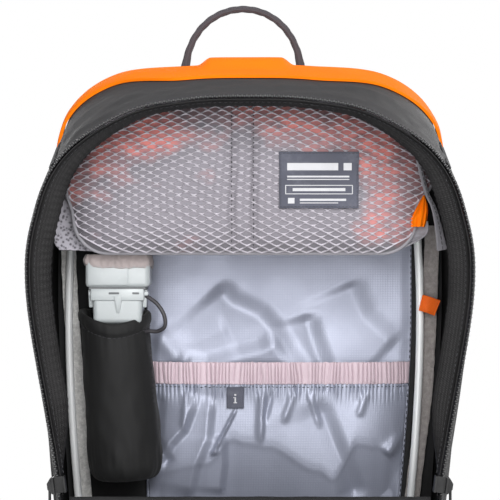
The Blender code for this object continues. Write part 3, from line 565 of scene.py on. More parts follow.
def piping(name, path, radius, body="pack", node=None):
    place(tube(name, path, radius, TAPE), body, node=node)


def belt(name, path, across, width, thick, body, node=None):
    place(swept(name, path, across, width, thick, WEB, power=4.0), body, node=node)


def sideways(path):
    """A direction that stays across a whole path."""
    run = path[-1] - path[0]
    for i in range(1, len(path)):
        run += (path[i] - path[i - 1]) * 0.01
    normal = Vector((0, 0, 0))
    for a, b in zip(path, path[1:]):
        normal += (a - path[0]).cross(b - path[0])
    if normal.length < 1e-9:
        normal = run.orthogonal()
    return normal.normalized()


def gather(name, parts, material):
    """One mesh from many small closed bodies, each (points, faces)."""
    points, faces = [], []
    for some, shapes in parts:
        base = len(points)
        points += [tuple(p) for p in some]
        faces += [tuple(base + i for i in shape) for shape in shapes]
    mesh = bpy.data.meshes.new(name)
    mesh.from_pydata(points, [], faces)
    return from_mesh(name, mesh, material, angle=35.0)


BOX_FACES = ((0, 1, 2, 3), (7, 6, 5, 4), (0, 4, 5, 1), (1, 5, 6, 2), (2, 6, 7, 3), (3, 7, 4, 0))


def brick(centre, along, wide, out, length, width, height, narrow=0.75):
    """Eight points of a small block whose outer face is narrower."""
    points = []
    for side, share in ((-1, 1.0), (1, narrow)):
        for a, b in ((-1, -1), (1, -1), (1, 1), (-1, 1)):
            point = centre + along * (a * length / 2 * share) + wide * (b * width / 2 * share)
            points.append(point + out * (side * height / 2))
    return points, BOX_FACES


def resampled(path, step):
    """(point, direction) every step along a path."""
    found, carried = [], 0.0
    for a, b in zip(path, path[1:]):
        length = (b - a).length
        while carried < length:
            found.append((a.lerp(b, carried / max(length, 1e-9)), (b - a).normalized()))
            carried += step
        carried -= length
    return found


def stitches(path, out, length=0.0026, gap=0.0014, thick=0.0006):
    """Thread stitches along a path, standing a little proud of the cloth. out is a vector or gives one."""
    parts = []
    for point, run in resampled(path, length + gap):
        away = (out(point) if callable(out) else Vector(out)).normalized()
        wide = run.cross(away).normalized()
        parts.append(brick(point, run, wide, away, length, thick, thick * 1.1, 0.6))
    return parts


def round_edges(made, edges, width, segments):
    bmesh.ops.bevel(made, geom=edges, offset=width, segments=segments, profile=0.6, affect="EDGES",
                    clamp_overlap=True)


def bevelled(name, outline, depth, material, matrix, bevel):
    """A plate cut to an outline of (x, y), depth thick about its middle, with rounded edges."""
    made = bmesh.new()
    bottom = [made.verts.new((x, y, -depth / 2)) for x, y in outline]
    face = made.faces.new(bottom)
    grown = bmesh.ops.extrude_face_region(made, geom=[face])
    top = [g for g in grown["geom"] if isinstance(g, bmesh.types.BMVert)]
    bmesh.ops.translate(made, vec=(0, 0, depth), verts=top)
    bmesh.ops.recalc_face_normals(made, faces=made.faces)
    sharp = [e for e in made.edges if len(e.link_faces) == 2 and e.calc_face_angle() > 0.5]
    round_edges(made, sharp, bevel, 2)
    made.transform(matrix)
    mesh = bpy.data.meshes.new(name)
    made.to_mesh(mesh)
    made.free()
    return from_mesh(name, mesh, material, angle=40.0)


def block(low, high, bevel=0.001, segments=2, taper=1.0):
    """A bevelled box as a bmesh. taper narrows its lower end."""
    low, high = Vector(low), Vector(high)
    made = bmesh.new()
    bmesh.ops.create_cube(made, size=1.0)
    for vert in made.verts:
        share = taper if vert.co.z < 0 else 1.0
        vert.co = Vector((vert.co.x * share, vert.co.y * share, vert.co.z))
    bmesh.ops.scale(made, vec=high - low, verts=made.verts)
    bmesh.ops.translate(made, vec=(low + high) / 2, verts=made.verts)
    round_edges(made, list(made.edges), bevel, segments)
    return made


def assembled(name, blocks, material, matrix=None):
    """One object from several bmeshes."""
    mesh = bpy.data.meshes.new(name)
    whole = bmesh.new()
    for made in blocks:
        piece = bpy.data.meshes.new(name + "_part")
        made.to_mesh(piece)
        made.free()
        whole.from_mesh(piece)
        bpy.data.meshes.remove(piece)
    if matrix:
        whole.transform(matrix)
    whole.to_mesh(mesh)
    whole.free()
    return from_mesh(name, mesh, material, angle=40.0)


def evaluated_copy(obj):
    graph = bpy.context.evaluated_depsgraph_get()
    return bpy.data.meshes.new_from_object(obj.evaluated_get(graph))


def coordinates(mesh):
    found = np.zeros(len(mesh.vertices) * 3, np.float32)
    mesh.vertices.foreach_get("co", found)
    return found.reshape(-1, 3)


def stuffed(obj, cap, voxel=0.005, pressure=4.0, limit=None, carve=None):
    """Swells a closed form by cloth simulation, moving no point by more than cap, and smooths it.

    limit keeps points out of the neighbours' space, and carve sinks the seams afterwards.
    """
    remesh = obj.modifiers.new("Remesh", "REMESH")
    remesh.mode = "VOXEL"
    remesh.voxel_size = voxel
    obj.data = evaluated_copy(obj)
    obj.modifiers.clear()
    start = coordinates(obj.data)
    cloth = obj.modifiers.new("Cloth", "CLOTH")
    cloth.settings.quality = 4
    cloth.settings.mass = 0.2
    cloth.settings.tension_stiffness = 12
    cloth.settings.compression_stiffness = 12
    cloth.settings.shear_stiffness = 6
    cloth.settings.bending_stiffness = 0.6
    cloth.settings.use_pressure = True
    cloth.settings.uniform_pressure_force = pressure
    cloth.settings.effector_weights.gravity = 0.0
    cloth.point_cache.frame_start = 1
    cloth.point_cache.frame_end = 20
    for step in range(1, 21):
        bpy.context.scene.frame_set(step)
    swollen = evaluated_copy(obj)
    obj.modifiers.clear()
    bpy.context.scene.frame_set(1)
    moved = coordinates(swollen) - start
    length = np.linalg.norm(moved, axis=1, keepdims=True)
    end = start + moved * np.minimum(1.0, cap / np.maximum(length, 1e-9))
    obj.data.vertices.foreach_set("co", end.astype(np.float32).ravel())
    bpy.data.meshes.remove(swollen)
    finer = obj.modifiers.new("Finer", "SUBSURF")
    finer.levels = 1
    finer.render_levels = 1
    obj.data = evaluated_copy(obj)
    obj.modifiers.clear()
    obj.data.update()
    normals = [v.normal.copy() for v in obj.data.vertices]
    for vert, normal in zip(obj.data.vertices, normals):
        if carve:
            vert.co -= normal * carve(vert.co)
        if limit:
            vert.co = limit(vert.co)
    obj.data.update()
    obj.data.shade_smooth()
    return obj


# ---- shell ---------------------------------------------------------------------------------
SEAM_GAP = 0.0005
COVER_REACH = 0.42
COVER_REAR = 0.992


def side_crease(s, v):
    """Wrinkles of the side walls, outwards in metres: none at the rim, the back and under the cover."""
    below = smoothstep(0.42, 0.50, abs(s))
    fade = smoothstep(0.13, 0.28, v) * (1 - smoothstep(0.84, 0.93, v))
    fade *= below + (1 - below) * (1 - smoothstep(0.40, 0.5, v))
    side = 0.0 if s > 0 else 7.0
    slow = 0.0022 * wobble(s * 11, v * 2.2, side)
    short = 0.0012 * wobble(s * 34 + 5 * v, v * 4.0, side + 3)
    fold = 0.0016 * hump(0.47 + 0.03 * wobble(s * 6, 0, side), 0.035, v)
    return fade * (slow + short + fold)


def gusset_crease(s, v):
    fade = smoothstep(0.02, 0.14, v) * (1 - smoothstep(0.46, 0.56, v))
    return fade * (0.0012 * wobble(s * 16 - 4 * v, v * 5, 2.0) + 0.0007 * wobble(s * 50, v * 7, 5.0) + 0.0006)


def base_crease(s, v):
    return -0.0003 * abs(wobble(s * 30, v * 9, 1.0))


def wall_cloth(name, node, s_values, v_count, crease, material, slot="black_fabric"):
    rows = grid(s_values, spread(0, 1, v_count), lambda s, v: wall_point(s, v, WALL / 2 - crease(s, v)))
    place(surface(name, rows, material, thickness=WALL * 0.8), "pack", slot, node)


def outward(s, v):
    normal = outline_normal(RIM_OUTLINE, s).lerp(outline_normal(BACK_OUTLINE, s), v).normalized()
    return Vector((normal.x, 0, normal.y))


def rim_line(s_values, inset, y=RIM_Y):
    """Points along the rim, moved in by inset, at y."""
    flat = [wall_point(s, 0, inset) for s in s_values]
    return [Vector((p.x, y, p.z)) for p in flat]


def round_base(start, count):
    """Values of s from start on the right, round the base, to the left."""
    half = spread(start, 1.0, count)
    return half + [-s for s in reversed(half[:-1])]


def shell():
    wall_cloth("top_gusset_cloth", "top_gusset", spread(-S_TOP_SEAM, S_TOP_SEAM, 221), 61, gusset_crease,
               GREY, "grey_fabric")
    for word, side in SIDES:
        s_values = spread(side * (S_TOP_SEAM + SEAM_GAP), side * (S_BASE_SEAM - SEAM_GAP), 200)
        wall_cloth(f"side_panel_cloth_{word}", f"side_panel_{word}", s_values, 72, side_crease, SIDE)
    wall_cloth("base_cloth", "base_panel", round_base(S_BASE_SEAM + SEAM_GAP, 34), 50, base_crease, BLACK)
    low_v, tape_half, stitch_row = 0.012, 0.006, 0.0042
    threads = []
    for seam, word, high_v in ((S_TOP_SEAM, "top", 0.42), (S_BASE_SEAM, "base", 0.97)):
        for side_word, side in SIDES:
            rows = grid(
                spread(low_v, high_v, 60), spread(-tape_half, tape_half, 7),
                lambda v, ds: wall_point(side * (seam + ds), v, -0.0002 - 0.0004 * (1 - (ds / tape_half) ** 2)),
            )
            place(surface(f"seam_tape_{word}_{side_word}", rows, BLACK, thickness=0.0006))
            for ds in (-stitch_row, stitch_row):
                path = [wall_point(side * (seam + ds), v, -0.0009) for v in spread(low_v, high_v, 40)]
                threads += stitches(path, outward(side * seam, 0.5))
    return threads


def cover_front(s):
    narrow = smoothstep(0.10, 0.20, abs(s)) * (1 - 0.7 * smoothstep(0.30, COVER_REACH, abs(s)))
    return 0.57 + 0.25 * smoothstep(0.10, COVER_REACH, abs(s)) + (0.15 if s < 0 else 0.08) * narrow


def cover_point(s, t, above=0.0):
    """A point over the release cover's top surface: s along it, t from its front edge to its rear."""
    tab_half, tab_rise, tab_s = 0.0745, 0.0062, -0.006
    lift = tab_rise * (1 - smoothstep(tab_half * 0.72, tab_half, abs(s - tab_s))) * smoothstep(0.3, 0.8, t)
    crown = 0.0016 * math.sin(math.pi * min(1.0, t * 1.02)) ** 0.7
    hem = 0.0005 * (hump(0.0, 0.05, t - 0.03) + hump(0.0, 0.05, t - 0.97))
    soft = 0.0009 * wobble(s * 22, t * 1.5, 4.0) * math.sin(math.pi * t)
    v = cover_front(s) + (COVER_REAR - cover_front(s)) * t
    return wall_point(s, v, -(GAP + 0.0017 + lift + crown + hem + soft) - above)


def release_cover():
    """The orange band that the airbag bursts out from, hemmed and stitched along both edges."""
    rows = []
    for s in spread(-COVER_REACH, COVER_REACH, 261):
        v0 = cover_front(s)
        under = [wall_point(s, v0 + (COVER_REAR - v0) * t, -GAP) for t in spread(1, 0, 9)]
        rows.append([cover_point(s, t) for t in spread(0, 1, 25)] + under)
    cover = surface("release_cover_cloth", rows, ORANGE, looped=True, caps=True)
    place(cover, "pack", "orange_fabric", "release_cover")
    threads = []
    for t in (0.07, 0.93):
        path = [cover_point(s, t, -0.0002) for s in spread(-COVER_REACH + 0.01, COVER_REACH - 0.01, 240)]
        threads += stitches(path, lambda p: Vector((p.x * 2.2, 0, p.z - 0.25)))
    return threads


def zip_tape():
    """Tape inside the rim that turns in to face the front, with gathers along its inner edge."""
    profile = [
        # inset from the wall, y
        (0.0035, -0.1196), (0.0038, -0.1168), (0.0050, -0.1136), (0.0085, -0.1112), (0.0125, -0.1094),
        (0.0165, -0.1074), (0.0190, -0.1050),
    ]
    first_inset, gather_pitch = profile[0][0], 0.0056
    path = smooth_path([(inset, y, 0) for inset, y in profile], 16)
    rows, run, last = [], 0.0, wall_point(-REACH, 0)
    for s in spread(-REACH, REACH, 1300):
        here = wall_point(s, 0)
        run += (here - last).length
        last = here
        narrow = 0.42 + 0.58 * smoothstep(0.10, 0.36, abs(s))
        low = smoothstep(REACH, REACH - 0.05, abs(s))
        wave = math.sin(run * 2 * math.pi / gather_pitch + 1.5 * wobble(run * 40))
        ripple = 0.55 * wave + 0.45 * wobble(run * 70, 3.0)
        row = []
        for point in path:
            far = smoothstep(0.006, 0.017, point.x)
            inset = first_inset + (point.x - first_inset) * narrow * low + 0.0005 * far * ripple * low
            row.append(wall_point(s, v_at(point.y + 0.0009 * far * ripple), inset))
        rows.append(row)
    place(surface("zip_tape_cloth", rows, TAPE, thickness=0.0009), node="zip_tape_body")
    path = [wall_point(s, v_at(-0.1122), 0.0066) for s in spread(-REACH + 0.004, REACH - 0.004, 400)]
    return stitches([p + FRONT * 0.0012 for p in path], FRONT, thick=0.0005)


def teeth(name, path, out, material, body, node):
    """Zip coil: a core cord with a tooth every 1.7 mm."""
    pitch, length, width, height = 0.0017, 0.0009, 0.0017, 0.0016
    parts = []
    for i, (point, run) in enumerate(resampled(path, pitch)):
        wide = run.cross(out).normalized()
        shift = 0.0003 if i % 2 else -0.0003
        parts.append(brick(point + wide * shift, run, wide, out, length, width, height, 0.7))
    place(gather(name, parts, material), body, "black_plastic", node)
    place(tube(name + "_core", path[::2], 0.00055, DARK_PLASTIC, sides=8), body, "black_plastic")


def hinge_turn():
    turn = Matrix.Rotation(OPEN_ANGLE, 4, "X")
    return Matrix.Translation(HINGE) @ turn @ Matrix.Translation(-HINGE)


def body_zip():
    path = rim_line(spread(-REACH, REACH, 420), WALL / 2, BODY_COIL_Y)
    teeth("zip_teeth_body", path, FRONT, TEETH, "pack", "zip_coil_body")


# ---- front: flap, lower panel and fold -----------------------------------------------------
POCKET_SHARE = 0.80  # of the flap's outline
POCKET_ZIP_Z = 0.360


def plate_rows(ring, depth, count):
    """Rows from a ring in to its centre, at the y that depth gives for a share of the outline."""
    centre = sum(ring, Vector()) / len(ring)
    rows = []
    for f in spread(1.0, 0.02, count):
        inner = [centre + (p - centre) * f for p in ring]
        rows.append([Vector((q.x, depth(f, q), q.z)) for q in inner])
    return rows


def closed_ring(points, step=0.006):
    """points, and the straight line from the last back to the first."""
    first, last = points[0], points[-1]
    count = max(2, int((first - last).length / step))
    return points + [last.lerp(first, i / count) for i in range(1, count)]


def flap_inner(f):
    return FLAP_EDGE_Y - FLAP_DOME * (1 - f * f)


def flap_depth(f, p):
    soft = 0.0016 * wobble(p.x * 26, p.z * 18, 1.0) + 0.0008 * wobble(p.x * 70, p.z * 50, 2.0)
    return flap_inner(f) - FLAP_THICKNESS / 2 - soft * (1 - f ** 6) * 0.5


def flap_pocket_depth(f, p):
    swell = 0.016 * (1 - f ** 4) * (1 + 0.10 * wobble(p.x * 30, p.z * 24, 6.0))
    pleat = 0.0022 * hump(POCKET_ZIP_Z, 0.004, p.z) * (1 - f ** 8)
    soft = 0.0014 * wobble(p.x * 60, p.z * 20, 8.0) * (1 - f ** 6)
    return flap_inner(POCKET_SHARE * f) - FLAP_THICKNESS - GAP - 0.0016 - swell + pleat + soft


def front_flap():
    """The unzipped front panel, made closed and turned open, with its zip, binding and pocket."""
    body, turn = "front_flap", hinge_turn()
    spin = turn.to_3x3()
    inwards, outwards = spin @ REAR, spin @ FRONT
    reach = s_at_height(HINGE.z + 0.006)

    def opened(points):
        return [turn @ p for p in points]

    def rim(count, inset, y=RIM_Y):
        return rim_line(spread(-reach, reach, count), inset, y)

    rows = [opened(row) for row in plate_rows(closed_ring(rim(200, 0.0006)), flap_depth, 46)]
    flap = surface("front_flap_cloth", rows, BLACK, looped=True, thickness=0.0020, filled=True)
    place(flap, body, node="front_flap")
    edge = opened(rim(260, 0.0034, FLAP_EDGE_Y - 0.0011))
    across = [inwards.cross(edge[min(i + 1, 259)] - edge[max(i - 1, 0)]) for i in range(260)]
    binding = swept("flap_binding", edge, across.__getitem__, 0.0085, 0.0034, TAPE, power=3.0, sides=14)
    place(binding, body)
    path = opened(rim(420, WALL / 2, FLAP_COIL_Y))
    teeth("zip_teeth_flap", path, inwards.normalized(), BLACK_TEETH, body, "zip_coil_flap")
    threads = []
    for inset, sunk in ((0.0052, -0.0009), (0.0105, 0.0010)):
        threads += stitches(opened(rim(240, inset, FLAP_EDGE_Y - 0.0002 - sunk)), inwards)

    outer = closed_ring(rim(160, 0.0006), 0.008)
    centre = sum(outer, Vector()) / len(outer)
    small = [centre + (p - centre) * POCKET_SHARE for p in outer]
    wall_y = flap_inner(POCKET_SHARE) - FLAP_THICKNESS - GAP
    wall = [Vector((p.x, wall_y, p.z)) for p in small]
    rows = [opened(row) for row in [wall] + plate_rows(small, flap_pocket_depth, 34)]
    cloth = surface("flap_pocket_cloth", rows, GREY, looped=True, thickness=0.0011, filled=True)
    place(cloth, body, "grey_fabric", "flap_pocket")
    half = max(abs(p.x) for p in small if abs(p.z - POCKET_ZIP_Z) < 0.012)
    height = (POCKET_ZIP_Z - centre.z) / (max(p.z for p in small) - centre.z)
    line = []
    for x in spread(-0.098, 0.098, 90):
        share = min(0.97, math.hypot(x / half, height))
        y = flap_pocket_depth(share, Vector((x, 0, POCKET_ZIP_Z))) + 0.0006
        line.append(turn @ Vector((x, y, POCKET_ZIP_Z)))
    place(swept("flap_pocket_zip", line, spin @ Z_AXIS, 0.0085, 0.0022, TAPE, power=3.0), body)
    for rise in (-0.0030, 0.0030):
        shift = spin @ Vector((0, 0, rise)) + outwards * 0.0011
        threads += stitches([p + shift for p in line], outwards, thick=0.0005)
    place(gather("flap_stitching", threads, PALE_THREAD), body)


def lower_front():
    s_values = round_base(s_at_height(HINGE.z - 0.004), 70)
    inset = WALL + CURVED_GAP
    edge = RIM_Y + 0.0010 + 0.0012

    def depth(f, p):
        soft = 0.0010 * wobble(p.x * 24, p.z * 30, 3.0) + 0.0005 * wobble(p.x * 80, p.z * 60, 5.0)
        return edge - 0.006 * (1 - f * f) + soft * (1 - f ** 8)

    rows = plate_rows(closed_ring(rim_line(s_values, inset)), depth, 30)
    panel = surface("lower_front_cloth", rows, BLACK, looped=True, thickness=0.0020, filled=True)
    place(panel, node="lower_front_panel")
    piping("lower_rim_piping", rim_line(s_values, 0.0017, RIM_Y - 0.0002), 0.0017)
    return stitches(rim_line(s_values, inset + 0.0042, edge - 0.0018), FRONT)


def fold_strip():
    """Cloth that carries the flap over its piping, from the lower panel to the flap's inner face."""
    half = outline_point(RIM_OUTLINE, s_at_height(HINGE.z)).x - 0.0085
    line = [Vector((x, HINGE.y, HINGE.z)) for x in spread(-half, half, 40)]
    piping("fold_piping", line, 0.0017, node="hinge_piping")
    section = [
        # y, z
        (-0.1158, 0.2030), (-0.1166, 0.2090), (-0.1188, 0.2146), (-0.1222, 0.2172), (-0.1262, 0.2170),
        (-0.1296, 0.2132), (-0.1322, 0.2070), (-0.1340, 0.2022), (-0.1378, 0.1984),
    ]
    rows = []
    for x in spread(-half, half, 90):
        slack = Vector((0, 0, 0.0004 * wobble(x * 60, 1.0)))
        rows.append([p + slack for p in smooth_path([(x, y, z) for y, z in section], 22)])
    strip = surface("fold_cloth", rows, BLACK, thickness=0.0009)
    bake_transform(strip)


# ---- inside: lining, pocket, frame ---------------------------------------------------------
def lining_x(u, z):
    right = 0.112 + 0.0215 * smoothstep(0.0, 0.36, z)
    return LINING_LEFT + (right - LINING_LEFT) * u


def ridge(x, z, start, end, width, height, lean=0.0):
    """Height of a fold along the line from start to end, both (x, z), fading at its ends."""
    (ax, az), (bx, bz) = start, end
    length = math.hypot(bx - ax, bz - az)
    ux, uz = (bx - ax) / length, (bz - az) / length
    t = ((x - ax) * ux + (z - az) * uz) / length
    off = (x - ax) * uz - (z - az) * ux
    wide = width * (1 + lean * (1 if off > 0 else -1))
    ends = smoothstep(-0.15, 0.12, t) * (1 - smoothstep(0.85, 1.2, t))
    return height * math.exp(-((off / wide) ** 2)) * ends


def slope(x, z, line, height, steep, gentle):
    """A fold with one steep face. It rises from line, a list of (x, z), to the left of its direction."""
    best, signed, reach = 1e9, 0.0, 0.0
    for index, ((ax, az), (bx, bz)) in enumerate(zip(line, line[1:])):
        dx, dz = bx - ax, bz - az
        length = math.hypot(dx, dz)
        t = min(1.0, max(0.0, ((x - ax) * dx + (z - az) * dz) / length ** 2))
        off = math.hypot(x - ax - dx * t, z - az - dz * t)
        if off < best:
            best = off
            side = (dx * (z - az) - dz * (x - ax)) / length
            signed = off if side > 0 else -off
            reach = (index + t) / (len(line) - 1)
    ends = smoothstep(0.0, 0.14, reach) * (1 - smoothstep(0.86, 1.0, reach))
    beyond = math.exp(-max(0.0, signed - steep) / (1.3 * gentle))
    rise = smoothstep(-0.3 * steep, 1.2 * steep, signed) * beyond
    return 0.75 * height * rise * ends


LINING_SLOPES = [
    # line of (x, z), height, width of the steep face, fall beyond it
    ([(0.062, 0.290), (0.039, 0.322), (0.026, 0.343), (0.014, 0.356), (-0.008, 0.366), (-0.020, 0.380)],
     0.0085, 0.013, 0.022),
    ([(0.088, 0.295), (0.070, 0.308), (0.062, 0.330), (0.056, 0.352)], 0.0070, 0.012, 0.016),
    ([(0.020, 0.334), (0.006, 0.326), (-0.012, 0.322), (-0.036, 0.314), (-0.056, 0.318)],
     0.0060, 0.011, 0.016),
    ([(-0.022, 0.350), (-0.050, 0.338), (-0.072, 0.346)], 0.0030, 0.014, 0.024),
    ([(0.128, 0.330), (0.104, 0.352), (0.092, 0.380)], 0.0050, 0.014, 0.018),
]
LINING_FOLDS = [
    # start (x, z), end (x, z), width, height, lean
    ((-0.076, 0.330), (-0.058, 0.310), 0.0070, 0.0030, 0.0),
]
POCKET_SLOPES = [
    ([(-0.078, 0.196), (-0.070, 0.222), (-0.061, 0.240), (-0.050, 0.252), (-0.038, 0.284)],
     0.0075, 0.006, 0.008),
    ([(-0.046, 0.194), (-0.040, 0.222), (-0.030, 0.246), (-0.027, 0.282)], 0.0060, 0.006, 0.012),
    ([(-0.021, 0.198), (-0.018, 0.226), (-0.0185, 0.250)], 0.0048, 0.005, 0.010),
    ([(0.098, 0.198), (0.087, 0.224), (0.077, 0.248), (0.063, 0.284)], -0.0060, 0.010, 0.014),
    ([(-0.060, 0.226), (-0.070, 0.246), (-0.068, 0.284)], -0.0050, 0.006, 0.010),
]
POCKET_FOLDS = [
    ((-0.0125, 0.2680), (-0.0290, 0.2360), 0.0012, 0.0024, 0.0),
    ((-0.0290, 0.2370), (-0.0285, 0.2335), 0.0026, 0.0026, 0.0),
    ((0.0105, 0.2840), (0.0090, 0.2470), 0.0030, 0.0030, 0.3),
    ((0.0180, 0.2840), (0.0120, 0.2620), 0.0025, -0.0018, 0.0),
    ((0.0360, 0.2840), (0.0280, 0.2620), 0.0030, 0.0020, 0.0),
    ((0.0950, 0.2840), (0.0890, 0.2660), 0.0030, 0.0020, 0.0),
    ((0.0480, 0.2840), (0.0560, 0.2580), 0.0026, 0.0020, 0.0),
    ((-0.0520, 0.2840), (-0.0540, 0.2560), 0.0026, 0.0022, 0.0),
    ((0.1120, 0.2340), (0.1260, 0.2480), 0.0050, 0.0040, 0.0),
    ((0.0600, 0.1800), (0.0100, 0.1000), 0.0110, 0.0040, 0.3),
    ((0.0960, 0.1900), (0.0700, 0.0900), 0.0100, 0.0040, 0.0),
    ((-0.0400, 0.1500), (-0.0660, 0.0700), 0.0080, 0.0040, 0.0),
]
POCKET_CREASE = (
    # x, z of the crease that the full top of the pocket hangs over
    (-0.090, 0.215), (-0.036, 0.226), (-0.014, 0.2460), (-0.004, 0.2430), (0.014, 0.2400), (0.056, 0.2200),
    (0.068, 0.2130), (0.088, 0.2420), (0.102, 0.2400), (0.114, 0.2340), (0.140, 0.2480),
)


def folds_at(x, z, folds, slopes):
    total = sum(ridge(x, z, *fold) for fold in folds)
    total += sum(slope(x, z, *fold) for fold in slopes)
    return total


def lining_point(z, u):
    x = lining_x(u, z)
    edge = smoothstep(0, 0.05, u) * (1 - smoothstep(0.95, 1.0, u))
    shown = smoothstep(0.296, 0.306, z) * (1 - smoothstep(0.44, 0.465, z))
    folds = folds_at(x, z, LINING_FOLDS, LINING_SLOPES)
    slow = 0.0014 * wobble(x * 20, z * 22, 4.0)
    seam = 0.0006 * wobble(z * 160, 2.0) * (hump(1.0, 0.03, u) + hump(0.0, 0.03, u))
    return Vector((x, LINING_Y + 0.0006 - edge * shown * (folds + slow + 0.0010) - seam, z))


def lining():
    rows = grid(spread(0.010, 0.470, 240), spread(0, 1, 150), lining_point)
    cloth = surface("lining_cloth_back", rows, LINING, thickness=0.0006)
    place(cloth, "pack", "lining_nylon", "back_lining")
    path = []
    for z in spread(0.012, 0.466, 200):
        path.append(Vector((lining_x(1, z) + 0.0017, LINING_Y - 0.0012 - 0.0004 * wobble(z * 200), z)))
    place(swept("lining_binding", path, X_AXIS, 0.0042, 0.0016, BLACK, power=3.0, sides=12))
    path = [Vector((lining_x(1, z) - 0.0011, LINING_Y - 0.0007, z)) for z in spread(0.014, 0.464, 220)]
    return stitches(path, FRONT, length=0.0022, gap=0.0024, thick=0.0007)


def pocket_base(u, z):
    belly = 0.0150 * (1 - abs(2 * u - 1) ** 5) * smoothstep(0.030, 0.110, z)
    return LINING_Y - GAP - belly - 0.0012


def gathers(x, phase=0.0):
    """Uneven gathers across an elastic hem, from 0 in their sharp creases to about 1."""
    turn = x * 960 + 2.6 * wobble(x * 85, phase) + 1.2 * wobble(x * 300, phase + 4)
    size = 0.55 + 0.45 * wobble(x * 120, 7.0 + phase)
    return abs(math.sin(turn)) ** 0.7 * size + 0.25 * wobble(x * 45, 3.0 + phase)


def pocket_crease(x):
    for (x0, z0), (x1, z1) in zip(POCKET_CREASE, POCKET_CREASE[1:]):
        if x < x1:
            return z0 + (z1 - z0) * smoothstep(x0, x1, x)
    return POCKET_CREASE[-1][1]


ELASTIC_LOW_Z = POCKET_TOP_Z - ELASTIC_HEIGHT


def pocket_point(z, u):
    x = lining_x(u, z)
    edge = smoothstep(0, 0.06, u) * (1 - smoothstep(0.94, 1.0, u)) * smoothstep(0.030, 0.07, z)
    top = smoothstep(ELASTIC_LOW_Z + 0.001, ELASTIC_LOW_Z - 0.012, z)
    folds = folds_at(x, z, POCKET_FOLDS, POCKET_SLOPES)
    slow = 0.0016 * wobble(x * 16, z * 14, 8.0)
    near = smoothstep(ELASTIC_LOW_Z - 0.026, ELASTIC_LOW_Z, z) ** 2
    puckers = 0.0024 * gathers(x + 0.10 * (z - ELASTIC_LOW_Z) * wobble(x * 60)) * near
    crease = pocket_crease(x)
    under = min(1.0, max(0.0, crease - z) / 0.050) * (1 - 0.7 * smoothstep(0.17, 0.10, z))
    full = 0.0012 * smoothstep(crease - 0.006, crease + 0.008, z) * (1 - smoothstep(crease + 0.01, 0.285, z))
    depth = pocket_base(u, z) - edge * top * (folds + slow + full - 0.0125 * under) - puckers
    return Vector((x, min(depth, LINING_Y - 0.0006), z))


def hem_point(z, u):
    t = (z - ELASTIC_LOW_Z) / ELASTIC_HEIGHT
    x = lining_x(u, z)
    slant = x + 0.0016 * wobble(x * 70, 9.0) * t * 2
    puff = math.sin(math.pi * min(1.0, max(0.0, t))) ** 0.5
    depth = 0.0006 + 0.0036 * gathers(slant, 0.8 * wobble(x * 5, t * 0.7)) * (0.45 + 0.55 * puff)
    ruffle = 0.0006 * wobble(x * 300, 1.0) * (1 if t > 0.5 else -1) * (1 - puff)
    return Vector((x, pocket_base(u, z) - depth, z + ruffle))


def pocket():
    """The lined pocket, its gathered elastic hem and the stitches between them."""
    rows = grid(spread(0.030, ELASTIC_LOW_Z + 0.0006, 190), spread(0.012, 0.988, 340), pocket_point)
    cloth = surface("lining_pocket_cloth", rows, LINING, thickness=0.0006)
    place(cloth, "pack", "lining_nylon", "lining_pocket")
    rows = grid(spread(ELASTIC_LOW_Z, POCKET_TOP_Z, 26), spread(0.006, 0.994, 900), hem_point)
    hem = surface("pocket_hem_cloth", rows, ELASTIC, thickness=0.0005)
    place(hem, "pack", "elastic_pink", "pocket_elastic")
    row_z = ELASTIC_LOW_Z - 0.0022
    path = []
    for u in spread(0.012, 0.988, 420):
        x = lining_x(u, row_z)
        depth = 0.0016 * gathers(x) + 0.0008
        path.append(Vector((x, pocket_base(u, ELASTIC_LOW_Z) - depth, row_z + 0.0007 * wobble(x * 260, 5.0))))
    return stitches(path, FRONT, length=0.0020, gap=0.0016, thick=0.0007)


def tag():
    """Small hanging tag with a plain mark instead of its print."""
    low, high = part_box("info_tag")
    middle, wide, tall = (low + high) / 2, high.x - low.x, high.z - low.z

    def point(z, x):
        t = (high.z - z) / tall
        return Vector((x, middle.y - 0.0009 * t * t - 0.0006 * math.sin((x - low.x) / wide * math.pi), z))

    rows = grid(spread(high.z + 0.0014, low.z, 18), spread(low.x, high.x, 14), point)
    cloth = surface("info_tag_cloth", rows, LABEL, thickness=0.0006)
    place(cloth, "pack", "label_cloth", "info_tag")
    front = middle.y - 0.0013
    marks = [
        # right of the middle, depth, above the middle, length, height
        (0, front, -0.0012, 0.0013, 0.0042), (0, front - 0.0001, -0.0034, 0.0030, 0.0008),
        (-0.0007, front, 0.0008, 0.0018, 0.0007), (0, front, 0.0030, 0.0015, 0.0014),
    ]
    bars = []
    for x, y, z, length, height in marks:
        centre = Vector((middle.x + x, y, middle.z + z))
        bars.append(brick(centre, X_AXIS, Z_AXIS, FRONT, length, height, 0.0005, 0.9))
    place(gather("info_tag_mark", bars, PRINT), "pack", "label_cloth")


